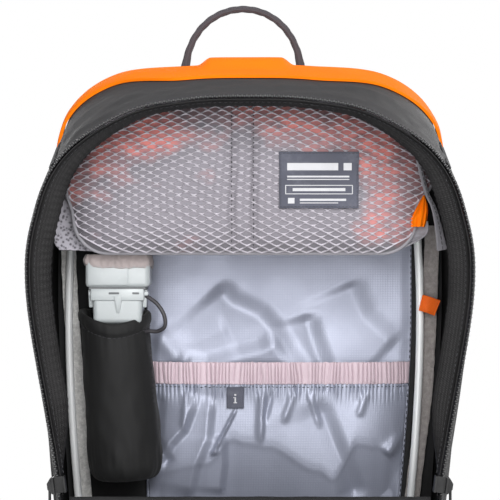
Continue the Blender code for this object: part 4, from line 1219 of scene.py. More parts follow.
def frame_parts():
    """The frame rod, one inverted U with a cloth boot at each end, and the napped strips behind it."""
    right = [
        # x from the middle, z
        (0.1140, 0.024), (0.1265, 0.110), (0.1365, 0.203), (0.1420, 0.280), (0.1438, 0.345), (0.1422, 0.400),
        (0.1370, 0.455), (0.118, 0.497), (0.080, 0.516), (0.000, 0.521),
    ]
    shift, depth = -0.0045, 0.0520
    ring = [Vector((shift - x, depth, z)) for x, z in right]
    ring += [Vector((shift + x, depth, z)) for x, z in right[-2::-1]]
    rod = tube("frame_rod_polished", smooth_path(ring, 200), 0.0032, METAL, sides=24)
    place(rod, "pack", "aluminium", "frame_rod")
    for (word, side), end in zip(SIDES, (ring[0], ring[-1])):
        direction = Vector((0.02 * side, 0, 0.15)).normalized()
        path = [end + direction * t for t in spread(0.0006, 0.022, 12)]
        place(swept(f"rod_boot_{word}", path, X_AXIS, 0.0088, 0.0088, BLACK, power=2.6, sides=18))
    strips = (
        (STRIP_LEFT, ((-0.1500, 0.420), (-0.1475, 0.3600), (-0.1414, 0.279), (-0.1380, 0.2245), (-0.1280, 0.090))),
        (STRIP_RIGHT, ((0.1500, 0.420), (0.1470, 0.3400), (0.1435, 0.280), (0.1360, 0.2200), (0.1210, 0.090))),
    )
    for (word, side), (material, points) in zip(SIDES, strips):
        path = smooth_path([(x, 0.0574, z) for x, z in points], 160)
        path = [p + Vector((0.0004 * wobble(p.z * 90, side), -0.0003 * wobble(p.z * 60, 5), 0)) for p in path]
        widths = [0.0122 + 0.0007 * wobble(p.z * 150, side * 3) for p in path]
        heights = [0.0016 + 0.0005 * wobble(p.z * 220, side * 5) for p in path]
        strip = swept(f"napped_strip_{word}", path, X_AXIS, widths, heights, material, power=3.0, sides=16,
                      lift=lambda i, x, y: -0.0003 * wobble(i * 0.5, x * 700))
        place(strip, "pack", "hook_tape", f"frame_strip_{word}")


def pull_tab():
    """Orange webbing folded over the strip, with a cut end."""
    path = smooth_path([(0.1397, 0.0460, 0.3570), (0.1465, 0.0440, 0.3550), (0.1530, 0.0450, 0.3525)], 24)
    path = [p + Vector((0, -0.0006 * math.sin(i * 0.27), 0)) for i, p in enumerate(path)]
    across = Vector((0.15, 0, 1))
    tab = swept("pull_tab_webbing", path, across, 0.0135, 0.0024, SAFETY_ORANGE, power=4.0)
    place(tab, "pack", "orange_plastic", "pull_tab")
    fold = [p + Vector((0, -0.0021, 0.0007)) for p in path[6:21]]
    place(swept("pull_tab_fold", fold, across, 0.0118, 0.0017, SAFETY_ORANGE, power=4.0), "pack",
          "orange_plastic")


# ---- airbag pouch --------------------------------------------------------------------------
POUCH_DEEP = 0.028
STITCH_LINES = (-0.0142, 0.0027)


def turns(count):
    return [2 * math.pi * k / count for k in range(count)]


def away_from(axis):
    return lambda p: Vector((p.x - axis.x, p.y - axis.y, 0))


def polyline(corners, count):
    """Straight lines from corner to corner, each as count points."""
    return [a.lerp(b, t) for a, b in zip(corners, corners[1:]) for t in spread(0, 1, count)]


def tucked(point):
    """The pouch's outline with its lower corners drawn in: the airbag shows at the right one."""
    right = smoothstep(0.456, 0.428, point.z) * smoothstep(0.09, 0.13, point.x)
    left = smoothstep(0.452, 0.420, point.z) * smoothstep(-0.085, -0.120, point.x)
    return Vector((point.x - 0.0185 * right + 0.0110 * left, point.y, point.z + 0.001 * right + 0.001 * left))


def closed_even(ring, count):
    """A closed ring as count points spaced evenly along it."""
    loop = ring + [ring[0]]
    lengths = np.concatenate([[0.0], np.cumsum([(b - a).length for a, b in zip(loop, loop[1:])])])
    wanted = np.linspace(0, lengths[-1], count, endpoint=False)
    data = np.array([tuple(p) for p in loop])
    return [Vector(tuple(np.interp(w, lengths, data[:, k]) for k in range(3))) for w in wanted]


def pouch_ring(y, inset, count=360, upper_steps=121, corner_steps=30):
    """The pouch's outline at y, moved in by inset."""
    side_s = s_at_height(POUCH_BOTTOM_Z + 0.045, BACK_OUTLINE)
    upper = [wall_point(s, v_at(y), 0.014 + inset) for s in spread(-side_s, side_s, upper_steps)]
    bottom = POUCH_BOTTOM_Z + inset
    lower = []
    for corner, turn in ((upper[-1], 1), (upper[0], -1)):
        radius = corner.z - bottom
        arc = [
            Vector((corner.x - turn * radius * (1 - math.cos(a)), y, corner.z - radius * math.sin(a)))
            for a in spread(0, math.pi / 2, corner_steps)[1:]
        ]
        lower += arc[::turn]
    return closed_even([tucked(p) for p in upper + lower], count)


class PouchShape:
    """The front face of the pouch as a height over the (x, z) plane."""

    def __init__(self, inset):
        self.ring = pouch_ring(POUCH_FRONT_Y, inset)
        self.centre = sum(self.ring, Vector()) / len(self.ring)
        around = [p - self.centre for p in self.ring]
        angles = np.array([math.atan2(p.z, p.x) for p in around])
        order = np.argsort(angles)
        self.angles = angles[order]
        self.radii = np.array([math.hypot(p.x, p.z) for p in around])[order]
        self.inset = inset

    def share(self, x, z):
        dx, dz = x - self.centre.x, z - self.centre.z
        reach = np.interp(math.atan2(dz, dx), self.angles, self.radii, period=2 * math.pi)
        return math.hypot(dx, dz) / reach

    def depth(self, x, z, share=None):
        f = min(1.0, self.share(x, z) if share is None else share)
        puff = POUCH_DEEP * math.sqrt(max(0.0, 1 - f ** 3))
        inside = 1 - f ** 8
        lumps = 0.0026 * wobble(x * 19, z * 21, 3.0) + 0.0010 * wobble(x * 52, z * 60, 6.0)
        sink = sum(0.0030 * hump(line, 0.0035, x) for line in STITCH_LINES)
        sink += 0.0016 * smoothstep(-0.0155, -0.0125, x) * (1 - smoothstep(0.0015, 0.0045, x))
        return POUCH_FRONT_Y + self.inset - puff + inside * (sink - lumps - 0.0008)

    def clamped(self, x, z, most=0.985):
        """(x, z) moved in to that share of the outline."""
        f = self.share(x, z)
        if f <= most:
            return x, z
        k = most / f
        return self.centre.x + (x - self.centre.x) * k, self.centre.z + (z - self.centre.z) * k


def pouch():
    shape = PouchShape(0.0006)
    rows = []
    for y in spread(POUCH_BACK_Y, POUCH_FRONT_Y + 0.004, 14):
        row = pouch_ring(y, 0.0006)
        t = (y - POUCH_FRONT_Y) / (POUCH_BACK_Y - POUCH_FRONT_Y)
        sag = [0.0012 * wobble(p.x * 30, y * 40, p.z * 30) * math.sin(math.pi * t) for p in row]
        row = [p + (shape.centre - p).normalized() * (0.0008 + d) for p, d in zip(row, sag)]
        for p in row[1:]:
            p.y = row[0].y
        rows.append(row)

    def face(f, p):
        q = shape.centre + (p - shape.centre) * f
        return Vector((q.x, shape.depth(q.x, q.z, f), q.z))

    rows += grid([1.0, 0.995, 0.985, 0.97] + spread(0.95, 0.03, 52), shape.ring, face)
    cloth = surface("pouch_cloth", rows, BACKING, looped=True, thickness=0.0008, filled=True)
    place(cloth, "pack", "pouch_mesh", "airbag_pouch")
    net(shape)
    trims(shape)
    folded_airbag()
    threads = []
    for x in STITCH_LINES:
        path = []
        for z in spread(0.3985, 0.5300, 160):
            if shape.share(x, z) < 0.98:
                path.append(Vector((x + 0.0004 * wobble(z * 120), shape.depth(x, z) - 0.0007, z)))
        threads += stitches(path, FRONT, length=0.0021, gap=0.0016, thick=0.0008)
    return threads


def net(shape):
    """Open diamond net of knitted cord over the backing."""
    across, up = 0.00570, 0.00292  # half a diamond
    columns, rows = int(0.31 / across), int(0.15 / up)
    known, points, faces = {}, [], []

    def corner(i, j):
        """The index of a net point, and whether it lies outside the pouch."""
        if (i, j) not in known:
            x, z = -0.155 + i * across, 0.392 + j * up
            x += 0.0022 * wobble(x * 17, z * 19, 1.0) + 0.0018 * math.sin(z * 40)
            z += 0.0016 * wobble(x * 21, z * 17, 5.0)
            known[i, j] = (len(points), shape.share(x, z) > 0.99)
            x, z = shape.clamped(x, z)
            points.append((x, shape.depth(x, z) - 0.0005, z))
        return known[i, j]

    for i in range(1, columns - 1):
        for j in range(1, rows - 1):
            if (i + j) % 2:
                continue
            found = [corner(*p) for p in ((i - 1, j), (i, j - 1), (i + 1, j), (i, j + 1))]
            if sum(outside for _, outside in found) < 2:
                faces.append([index for index, _ in found])
    mesh = bpy.data.meshes.new("pouch_net")
    mesh.from_pydata(points, [], faces)
    made = bmesh.new()
    made.from_mesh(mesh)
    bmesh.ops.subdivide_edges(made, edges=list(made.edges), cuts=1, use_grid_fill=False)
    lone = [v for v in made.verts if not v.link_faces]
    bmesh.ops.delete(made, geom=lone, context="VERTS")
    for vert in made.verts:
        vert.co.y = shape.depth(vert.co.x, vert.co.z) - 0.0005
    made.to_mesh(mesh)
    made.free()
    obj = from_mesh("pouch_net_cords", mesh, NET, angle=60.0)
    wire = obj.modifiers.new("Cords", "WIREFRAME")
    wire.thickness = 0.0023
    wire.use_even_offset = False
    wire.use_replace = True
    place(obj, slot="pouch_mesh")


def trims(shape):
    """Binding round the pouch's front, its corner gussets, and the loose binding at its right side."""
    ring = [shape.centre + (p - shape.centre) * 0.992 for p in shape.ring]
    ring = [Vector((p.x, shape.depth(p.x, p.z, 0.992) - 0.0006, p.z)) for p in ring]
    path = [p + Vector((0, 0.0004 * wobble(p.x * 150, p.z * 150), 0)) for p in ring + ring[:1]]
    binding = swept("pouch_binding", path, lambda i: shape.centre - path[i], 0.0040, 0.0026, POUCH_TRIM,
                    power=2.5, sides=10)
    place(binding, slot="pouch_mesh")
    gussets = (
        # name, y, material, outer edge and inner edge as (x, z)
        ("left", -0.026, GUSSET_MESH,
         [(-0.1490, 0.4520), (-0.1530, 0.4300), (-0.1535, 0.4080), (-0.1495, 0.4000)],
         [(-0.1380, 0.4470), (-0.1300, 0.4260), (-0.1220, 0.4080), (-0.1040, 0.3985)]),
        ("right", -0.0345, POUCH_TRIM,
         [(0.1235, 0.4225), (0.1215, 0.4130), (0.1190, 0.4060), (0.1120, 0.4000)],
         [(0.1385, 0.4225), (0.1388, 0.4145), (0.1335, 0.4088), (0.1215, 0.4025)]),
    )
    for word, y, material, *edges in gussets:
        outer, inner = [smooth_path([(x, 0, z) for x, z in edge], 30) for edge in edges]

        def point(i, t):
            p = outer[i].lerp(inner[i], t)
            return Vector((p.x, y + 0.004 * math.sin(math.pi * t) + 0.0012 * wobble(i * 0.3, t * 4), p.z))

        rows = grid(range(30), spread(0, 1, 16), point)
        place(surface(f"pouch_gusset_{word}", rows, material, thickness=0.0009), slot="pouch_mesh")
    path = smooth_path([
        (0.1290, -0.0400, 0.4830), (0.1312, -0.0450, 0.4660), (0.1365, -0.0470, 0.4450),
        (0.1420, -0.0465, 0.4330), (0.1452, -0.0450, 0.4210), (0.1478, -0.0440, 0.4070),
        (0.1490, -0.0430, 0.4000),
    ], 60)
    widths = [0.0040 + 0.0042 * smoothstep(20, 59, i) + 0.0006 * wobble(i * 0.4) for i in range(60)]
    strap = swept("pouch_side_binding", path, lambda i: Vector((1, 0.25 + 0.4 * math.sin(i * 0.06), 0)), widths,
                  0.0016, POUCH_TRIM, power=3.0, sides=14)
    place(strap, slot="pouch_mesh")
    line = [p + Vector((0.0006, -0.0011, 0)) for p in path[3:-2]]
    place(gather("side_binding_stitching", stitches(line, FRONT, thick=0.0005), THREAD), slot="pouch_mesh")


def folded_airbag():
    """The folded airbag inside the pouch, and the corner of it that shows at the lower right."""
    room = 0.0066
    small = PouchShape(room)

    def folded(f, p):
        q = small.centre + (p - small.centre) * f
        fold = 0.0022 * abs(wobble(q.x * 60 + q.z * 30, q.z * 90, 2.0)) * (1 - f ** 6)
        return Vector((q.x, small.depth(q.x, q.z, f) + 0.002 + fold, q.z))

    rows = [pouch_ring(y, room, 200, 61, 12) for y in spread(POUCH_BACK_Y - 0.005, POUCH_FRONT_Y + 0.006, 10)]
    rows += grid([1.0, 0.97] + spread(0.93, 0.03, 30), closed_even(small.ring, 200), folded)
    bag = surface("folded_airbag", rows, AIRBAG, looped=True, thickness=0.0006, filled=True)
    place(bag, "pack", "airbag_fabric", "airbag")
    heights = spread(0.4425, 0.4180, 44)

    def crumpled(i, a):
        t = i / 43
        left, right = 0.1350 - 0.0100 * min(1.0, t / 0.75), 0.1358 + 0.0022 * math.sin(math.pi * t)
        middle, wide = (left + right) / 2, (right - left) / 2 + 0.0004
        crumple = 1 + 0.10 * wobble(math.cos(a) * 3 + t * 2, math.sin(a) * 3, 4.0)
        pleat = 0.0009 * math.sin(a * 9 + 2.5 * t) * smoothstep(0.0, 0.3, t)
        deep = (0.0045 + 0.0030 * t) * math.sin(a) * crumple + pleat
        return Vector((middle + wide * math.cos(a), -0.0345 - deep - 0.002 * math.sin(math.pi * t), heights[i]))

    corner = surface("airbag_corner", grid(range(44), turns(48), crumpled), ORANGE, looped=True, caps=True)
    place(corner, slot="airbag_fabric")


def label():
    """Woven label with plain bars instead of words."""
    low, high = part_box("pouch_label")
    shape = PouchShape(0.0)
    front, wide, tall = low.y + 0.0004, high.x - low.x, high.z - low.z

    def face_y(x, z):
        return min(front, shape.depth(x, z) - 0.0014)

    def woven_point(z, x):
        y = face_y(x, z) + 0.0003 * wobble(x * 130, z * 130)
        return Vector((x + 0.0006 * wobble(z * 90, x * 20), y, z))

    def above(x, z):
        return Vector((x, face_y(x, z) - 0.0004, z))

    def mark(x, z, length, height):
        return brick(above(x, z), X_AXIS, Z_AXIS, FRONT, length, height, 0.0004, 0.98)

    rows = grid(spread(low.z, high.z, 30), spread(low.x, high.x, 44), woven_point)
    cloth = surface("pouch_label_cloth", rows, LABEL, thickness=0.0006)
    place(cloth, "pack", "label_cloth", "pouch_label")
    bars = [
        # centre across, centre up, length, height, all as shares of the label
        (0.42, 0.735, 0.64, 0.130), (0.86, 0.735, 0.10, 0.130), (0.49, 0.560, 0.78, 0.030),
        (0.49, 0.510, 0.78, 0.016), (0.50, 0.405, 0.84, 0.014), (0.50, 0.255, 0.84, 0.014),
        (0.50, 0.330, 0.66, 0.055), (0.15, 0.135, 0.08, 0.100), (0.55, 0.150, 0.58, 0.040),
        (0.50, 0.095, 0.48, 0.016),
    ]
    marks = []
    for across, height, length, thick in bars:
        pieces = max(1, int(length * wide / 0.004))
        for k in range(pieces):
            x = low.x + wide * (across - length / 2 + length * (k + 0.5) / pieces)
            marks.append(mark(x, low.z + tall * height, length * wide / pieces + 0.0002, thick * tall))
    for end in (0.08, 0.92):
        marks.append(mark(low.x + wide * end, low.z + tall * 0.330, 0.0007, tall * 0.16))
    place(gather("pouch_label_marks", marks, PRINT), slot="label_cloth")
    inset = 0.0013
    corners = [(low.x, low.z), (high.x, low.z), (high.x, high.z), (low.x, high.z), (low.x, low.z)]
    cx, cz = (low.x + high.x) / 2, (low.z + high.z) / 2
    path = []
    for (ax, az), (bx, bz) in zip(corners, corners[1:]):
        for t in spread(0, 1, 24):
            x, z = ax + (bx - ax) * t, az + (bz - az) * t
            path.append(above(x - math.copysign(inset, x - cx), z - math.copysign(inset, z - cz)))
    return stitches(path, FRONT, length=0.0018, gap=0.0010, thick=0.0004)


# ---- inflator, sleeve and cords ------------------------------------------------------------
def inflator():
    x, y = INFLATOR.x, INFLATOR.y

    def built(name, material, slot, node, sizes):
        """sizes: left, right, near, far from the axis, low, high, then what block takes."""
        blocks = [
            block((x + left, y + near, low), (x + right, y + far, high), *edge)
            for left, right, near, far, low, high, *edge in sizes
        ]
        place(assembled(name, blocks, material), "pack", slot, node)

    built("inflator_housing_shell", WHITE_PLASTIC, "white_plastic", "inflator_housing", [
        (-0.0250, 0.0250, -0.0240, 0.0240, 0.3706, 0.3930, 0.0036, 3),
        (-0.0232, 0.0090, -0.0248, 0.0200, 0.3722, 0.3905, 0.0014),
        (0.0120, 0.0256, -0.0220, 0.0200, 0.3722, 0.3900, 0.0016),
    ])
    built("inflator_gasket", CORE, "black_plastic", None, [
        (-0.0226, 0.0226, -0.0218, 0.0218, 0.3684, 0.3712, 0.0006, 1),
    ])
    cover = [
        (-0.0200, 0.0200, -0.0210, 0.0210, 0.3420, 0.3696, 0.0038, 3, 0.95),
        (-0.0212, 0.0212, -0.0224, 0.0200, 0.3600, 0.3696, 0.0018),
        (-0.0030, 0.0042, -0.0232, -0.0170, 0.3500, 0.3640, 0.0016, 2, 0.35),
    ]
    for clip in (-0.0212, 0.0212):
        cover.append((clip - 0.0022, clip + 0.0022, -0.0170, -0.0040, 0.3545, 0.3688, 0.0010, 2, 0.7))
        cover.append((clip - 0.0018, clip + 0.0030, -0.0190, -0.0020, 0.3640, 0.3672, 0.0008))
    built("inflator_cover_shell", WHITE_PLASTIC, "white_plastic", "inflator_cover", cover)
    built("inflator_slots", CORE, "black_plastic", None, [
        (-0.0068, 0.0016, -0.0227, -0.0200, 0.3650, 0.3668, 0.0004, 1),
        (0.0118, 0.0174, -0.0227, -0.0200, 0.3650, 0.3668, 0.0004, 1),
    ])
    profile = (
        # radius, z
        (0.0040, 0.3355), (0.0152, 0.3355), (0.0160, 0.3366), (0.0160, 0.3400), (0.0150, 0.3418), (0.0040, 0.3418),
    )
    rows = [[Vector((x + radius * c, y + radius * s, z)) for c, s in circle(48)] for radius, z in profile]
    neck = surface("inflator_neck", rows + rows[:1], WHITE_PLASTIC, looped=True)
    place(neck, "pack", "white_plastic", "inflator_nozzle")


def collar():
    """Gathered cloth neck between the pouch and the inflator."""
    def point(t, a):
        c, s = math.cos(a), math.sin(a)
        square = (abs(c) ** 7 + abs(s) ** 7) ** (-1 / 7)
        pleat = wobble(c * 9, s * 9, t * 1.3) + 0.6 * math.sin(a * 31 + 2.5 * wobble(c * 3, s * 3))
        share = 1.0 + 0.03 * t + 0.035 * math.sin(math.pi * t) + 0.024 * pleat * math.sin(math.pi * t)
        dip = -0.0016 * math.cos(a * 2 + 0.6) - 0.0008 * wobble(c * 4, s * 4, 5.0)
        z = 0.3962 - (0.0092 + dip + 0.0020 * c) * t + 0.0006 * wobble(c * 22, s * 22, t * 5)
        return Vector((INFLATOR.x + 0.0250 * c * square * share, INFLATOR.y + 0.0240 * s * square * share, z))

    rows = grid(spread(0, 1, 26), turns(220), point)
    cloth = surface("inflator_collar", rows, COLLAR, looped=True, thickness=0.0012)
    place(cloth, "pack", "collar_fabric", "airbag_neck")
    hem = [p + Vector((0, -0.0005, 0.0004)) for p in rows[-2] + rows[-2][:1]]
    return stitches(hem, away_from(INFLATOR), length=0.0022, gap=0.0012, thick=0.0009)


def sleeve():
    """Neoprene sleeve with a rolled rim that rises at the back, and a gathered lower end."""
    turn = Matrix.Translation(CARTRIDGE_TOP) @ Matrix.Rotation(-CARTRIDGE_TILT, 4, "Y")
    profile = [
        # radius, z from the cartridge's top
        (0.0240, -0.0100), (0.0244, 0.0010), (0.0252, 0.0050), (0.0270, 0.0064), (0.0284, 0.0044),
        (0.0283, -0.0004), (0.0268, -0.0036), (0.0266, -0.0060), (0.0271, -0.0200), (0.0280, -0.0500),
        (0.0288, -0.0800), (0.0289, -0.1000), (0.0276, -0.1100), (0.0225, -0.1165), (0.0120, -0.1185),
        (0.0040, -0.1188),
    ]

    def rim_rise(c, s):
        return 0.0075 * (0.5 + 0.5 * s) + 0.0085 * max(0.0, -c) ** 1.5 + 0.0040 * max(0.0, c) ** 2

    def point(middle, angle):
        (c, s), z = angle, middle.z
        rim = smoothstep(-0.030, -0.002, z)
        down = smoothstep(-0.070, -0.110, z)
        crease = 0.0010 * wobble(c * 3, s * 3, z * 60) * (1 - rim)
        crease += 0.0012 * down * wobble(c * 7, s * 7, z * 30)
        crease += 0.0006 * rim * wobble(c * 8, s * 8, 2.0)
        radius = middle.x + crease - 0.0012 * rim * max(0.0, s)
        lean = -0.0016 * smoothstep(-0.110, 0.0, z)
        return turn @ Vector((radius * c + lean, radius * s, z + rim_rise(c, s) * rim))

    rows = grid(smooth_path([(r, 0, z) for r, z in profile], 110), circle(120), point)
    cloth = surface("cartridge_sleeve_knit", rows, NEOPRENE, looped=True, thickness=0.0012)
    place(cloth, "pack", "neoprene", "cartridge_sleeve")
    seam_x, seam_y = 0.0284 * math.cos(-0.42), 0.0284 * math.sin(-0.42)
    seam = [turn @ Vector((seam_x, seam_y, z)) for z in spread(-0.006, -0.108, 60)]
    threads = stitches(seam, (0.6, -0.8, 0), thick=0.0004)
    rim = [
        turn @ Vector((0.0275 * c - 0.0016, 0.0275 * s, rim_rise(c, s) - 0.0046))
        for c, s in circle(120, closed=True)
    ]
    threads += stitches(rim, away_from(CARTRIDGE_TOP), thick=0.0005)
    return threads


def cords():
    x = INFLATOR.x
    path = smooth_path([
        (x + 0.0222, -0.0110, 0.3635), (x + 0.0256, -0.0122, 0.3618), (x + 0.0316, -0.0135, 0.3570),
        (x + 0.0368, -0.0140, 0.3484), (x + 0.0372, -0.0135, 0.3398), (x + 0.0316, -0.0105, 0.3358),
        (x + 0.0250, -0.0085, 0.3358), (x + 0.0218, -0.0068, 0.3352),
    ], 70)
    place(tube("retaining_cord_smooth", path, 0.0016, CORD, sides=14), "pack", "rubber_cord", "retaining_cord")
    hole = CABLE_HOLE
    path = smooth_path([
        (x + 0.0120, INFLATOR.y + 0.0246, 0.3740), (x + 0.0130, 0.0370, 0.3760), (x + 0.0160, 0.0455, 0.3900),
        (x + 0.0230, 0.0465, 0.4200), (x + 0.0360, 0.0470, 0.4600), (hole.x - 0.0030, 0.0480, 0.4820),
        (hole.x, 0.0560, hole.z), (hole.x, 0.0700, hole.z), (hole.x, 0.0815, hole.z),
    ], 110)
    cable = tube("release_cable_housing", path, 0.0020, CORD, sides=12)
    place(cable, "pack", "rubber_cord", "release_cable_inner")
    run = []
    for i in range(2, 12):
        point, _, across, out = strap_frame(-1, i / 20)
        run.append(point + out * 0.0098 - across * (0.010 * smoothstep(2, 5, i)))
    cable = tube("release_cable_outside", smooth_path(run, 90), 0.0020, CORD, sides=12)
    place(cable, "shoulder_strap_left", "rubber_cord", "release_cable_strap")


# ---- back ----------------------------------------------------------------------------------
def back_panel():
    """Foam back panel with a bound edge, a shallow dish in its rear face, and a cable grommet."""
    centre = Vector((0, 0, 0.28))
    ring, front = [
        [wall_point(-1 + 2 * i / 300, v_at(y), WALL + CURVED_GAP) for i in range(300)] for y in (BACK_Y, 0.0640)
    ]

    def drawn_in(p, f):
        return centre.x + (p.x - centre.x) * f, centre.z + (p.z - centre.z) * f

    def inside(f, p):
        x, z = drawn_in(p, f)
        return Vector((x, 0.0642, z))

    def rear(f, p):
        x, z = drawn_in(p, f)
        dish = 0.0012 * (1 - f ** 10) * (1 - 0.5 * wobble(x * 14, z * 10, 2.0))
        return Vector((x, BACK_Y - dish, z))

    rows = grid(spread(0.04, 0.99, 40), front, inside) + [front]
    rows += [[a.lerp(b, t) for a, b in zip(front, ring)] for t in spread(0.2, 1.0, 5)]
    rows += grid(spread(0.99, 0.03, 60), ring, rear)
    panel = surface("back_panel_foam", rows, STRAP_MESH, looped=True, caps=True)
    panel.data.materials.append(BLACK)
    for face in panel.data.polygons:
        if face.center.y < 0.0655:
            face.material_index = 1
    place(panel, node="back_panel")
    edge = [Vector((p.x, BACK_Y + 0.0006, p.z)) for p in ring + ring[:1]]
    place(swept("back_binding", edge, lambda i: centre - edge[i], 0.0060, 0.0028, TAPE, power=3.0, sides=12))
    profile = (
        # radius, y
        (0.0028, 0.0790), (0.0030, 0.0822), (0.0042, 0.0832), (0.0062, 0.0826), (0.0072, 0.0806), (0.0070, 0.0796),
    )
    rows = [[Vector((CABLE_HOLE.x + r * c, y, CABLE_HOLE.z + r * s)) for c, s in circle(32)] for r, y in profile]
    place(surface("cable_grommet", rows, DARK_PLASTIC, looped=True, thickness=0.0006), slot="black_plastic")
    path = [centre + (p - centre) * 0.965 for p in ring + ring[:1]]
    return stitches([Vector((p.x, BACK_Y - 0.0002, p.z)) for p in path], REAR)


def pad_form(name, low, high, shrink):
    """A closed pillow form between two corners, pulled in between its corners."""
    cx, cz = (low.x + high.x) / 2, (low.z + high.z) / 2
    half_x, half_z = (high.x - low.x) / 2 - shrink, (high.z - low.z) / 2 - shrink
    back, front = low.y + 0.0006, high.y - shrink
    rows = []
    for t in spread(0, 1, 24):
        y = back + (front - back) * t
        f = 1.0 - 0.05 * t ** 3
        rows.append([Vector((cx + x, y, cz + z)) for x, z in rounded(120, half_x * f, half_z * f, 0.4, 0.4)])
    return surface(name, rows, PAD_MESH, looped=True, caps=True)


def back_pads():
    for node, lines, columns in (
        ("spine_pad", (0.205, 0.260, 0.315, 0.370, 0.420), (-0.026, 0.026)),
        ("lumbar_pad", (), (-0.052, 0.0, 0.052)),
    ):
        low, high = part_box(node)
        cap = 0.0045
        pad = pad_form(node + "_foam", low, high, cap)

        def carve(p):
            raised = smoothstep(low.y + 0.003, low.y + 0.009, p.y)
            depth = sum(0.0052 * hump(z + 0.010 * abs(p.x) / 0.08, 0.0040, p.z) for z in lines)
            return max(depth, *(0.0058 * hump(x, 0.0045, p.x) for x in columns)) * raised

        def limit(p):
            return Vector((p.x, min(max(p.y, low.y + 0.0003), high.y + 0.0008), p.z))

        stuffed(pad, cap, voxel=0.005, limit=limit, carve=carve)
        place(pad, "pack", "black_fabric", node)
        cx, cz = (low.x + high.x) / 2, (low.z + high.z) / 2
        ring = rounded(160, high.x - cx - 0.0016, high.z - cz - 0.0016, 0.4, 0.4, closed=True)
        piping(node + "_piping", [Vector((cx + x, low.y + 0.0022, cz + z)) for x, z in ring], 0.0019)


def strap_path(side):
    points = [
        (0.055, 0.1010, 0.474), (0.057, 0.1180, 0.492), (0.063, 0.1420, 0.486), (0.072, 0.1600, 0.450),
        (0.086, 0.1690, 0.395), (0.099, 0.1700, 0.335), (0.109, 0.1620, 0.275), (0.117, 0.1470, 0.228),
    ]
    return smooth_path([mirrored(p, side) for p in points], 21)


def strap_frame(side, share):
    """(point, down, across, out) at a share of a shoulder strap's length."""
    path = strap_path(side)
    i = round(share * (len(path) - 1))
    down = (path[i + 1] - path[i - 1]).normalized()
    across = X_AXIS - down * down.x
    across.normalize()
    return path[i], down, across, across.cross(down)


def strap_stations(side):
    """(point, down, across, out, half width, thickness) along a shoulder strap."""
    found = []
    for i, (point, run, wide, _) in enumerate(frames_along(smooth_path(strap_path(side), 60), X_AXIS)):
        t = i / 59
        half = 0.030 + 0.004 * math.sin(math.pi * t) - 0.014 * smoothstep(0.75, 1.0, t)
        thick = 0.006 + 0.006 * smoothstep(0, 0.15, t) * (1 - smoothstep(0.9, 1.0, t))
        found.append((point, run, wide, wide.cross(run), half, thick))
    return found


def hip_stations(side):
    """(point, run, across, out, half width, thickness) along a hip wing."""
    points = [
        (0.1020, 0.1030, 0.075), (0.1230, 0.1120, 0.077), (0.1420, 0.1340, 0.081), (0.1500, 0.1650, 0.086),
        (0.1460, 0.2000, 0.091), (0.1300, 0.2300, 0.093),
    ]
    found = []
    path = smooth_path([mirrored(p, side) for p in points], 48)
    for i, (point, run, wide, out) in enumerate(frames_along(path, Z_AXIS)):
        t = i / 47
        half = 0.040 - 0.015 * smoothstep(0.2, 1.0, t)
        thick = 0.006 + 0.006 * smoothstep(0, 0.2, t) * (1 - smoothstep(0.85, 1, t))
        found.append((point, run, wide, out if out.dot(Vector((side, -0.3, 0))) > 0 else -out, half, thick))
    return found


def padded_band(body, stations, words, axis, seam, fold, edge, row, facing, facing_row):
    """A foam strap with piped edges, and webbing sewn along its face. Returns its stitches.

    words name the edges. seam: depth. fold: depth, width. edge: inset, radius, stations.
    row: inset, lift. facing: first station, lift, width, thickness. facing_row: offset, lift.
    """
    cap = 0.0022
    shrink = cap * 0.9
    rows = []
    for point, _, wide, out, half, thick in stations:
        section = rounded(36, half - shrink, max(0.0012, thick / 2 - shrink), 0.55, 0.7)
        rows.append([point + wide * x + out * y for x, y in section])
    form = surface(body + "_foam", rows, STRAP_MESH, looped=True, caps=True)
    middles = np.array([tuple(station[0]) for station in stations])

    def carve(p):
        point, _, wide, _, half, _ = stations[int(np.argmin(((middles - np.array(p)) ** 2).sum(1)))]
        off = (p - point).dot(wide)
        return seam * hump(half - row[0], 0.0024, abs(off)) + fold[0] * hump(0, fold[1], off)

    stuffed(form, cap, voxel=0.0045, carve=carve)
    place(form, body, "black_fabric", body)
    normal = stations[len(stations) // 2][3]
    start, face_lift, width, thickness = facing
    threads, sewn = [], []
    for way, word in zip((-1, 1), words):
        line = [p + w * (way * (h - edge[0])) for p, _, w, _, h, _ in stations[edge[2]]]
        piping(f"{body}_edge_{word}", line, edge[1], body)
        line = [p + w * (way * (h - row[0])) + o * (k / 2 + row[1]) for p, _, w, o, h, k in stations[2:-2]]
        threads += stitches(line, normal)
        line = [
            p + w * (way * facing_row[0]) + o * (k / 2 + facing_row[1])
            for p, _, w, o, _, k in stations[start + 1:-2]
        ]
        sewn += stitches(line, normal, thick=0.0005)
    path = [p + o * (k / 2 + face_lift) for p, _, _, o, _, k in stations[start:]]
    belt(body + "_webbing", path, axis, width, thickness, body)
    return threads + sewn


def shoulder_straps():
    for word, side in SIDES:
        body = "shoulder_strap_" + word
        stations = strap_stations(side)
        threads = padded_band(
            body, stations, ("inner", "outer")[::side], X_AXIS, seam=0.0016, fold=(0.0008, 0.0035),
            edge=(0.0052, 0.0030, slice(None)), row=(0.0075, -0.0008), facing=(3, 0.0006, 0.0200, 0.0014),
            facing_row=(0.0086, 0.0014),
        )
        for share in (0.14, 0.30, 0.62, 0.80, 0.93):
            if side < 0 and share == 0.62:
                continue  # the release handle lies there
            p, down, w, o, _, k = stations[int(share * 59)]
            for shift in (-0.0016, 0.0016):
                bar = [p + w * x + down * shift + o * (k / 2 + 0.0016) for x in spread(-0.008, 0.008, 8)]
                threads += stitches(bar, o, length=0.0016, gap=0.0004, thick=0.0007)
        place(gather(body + "_stitching", threads, PALE_THREAD), body)
        strap_root(word, side, stations[1])
        lower_webbing(word, side)


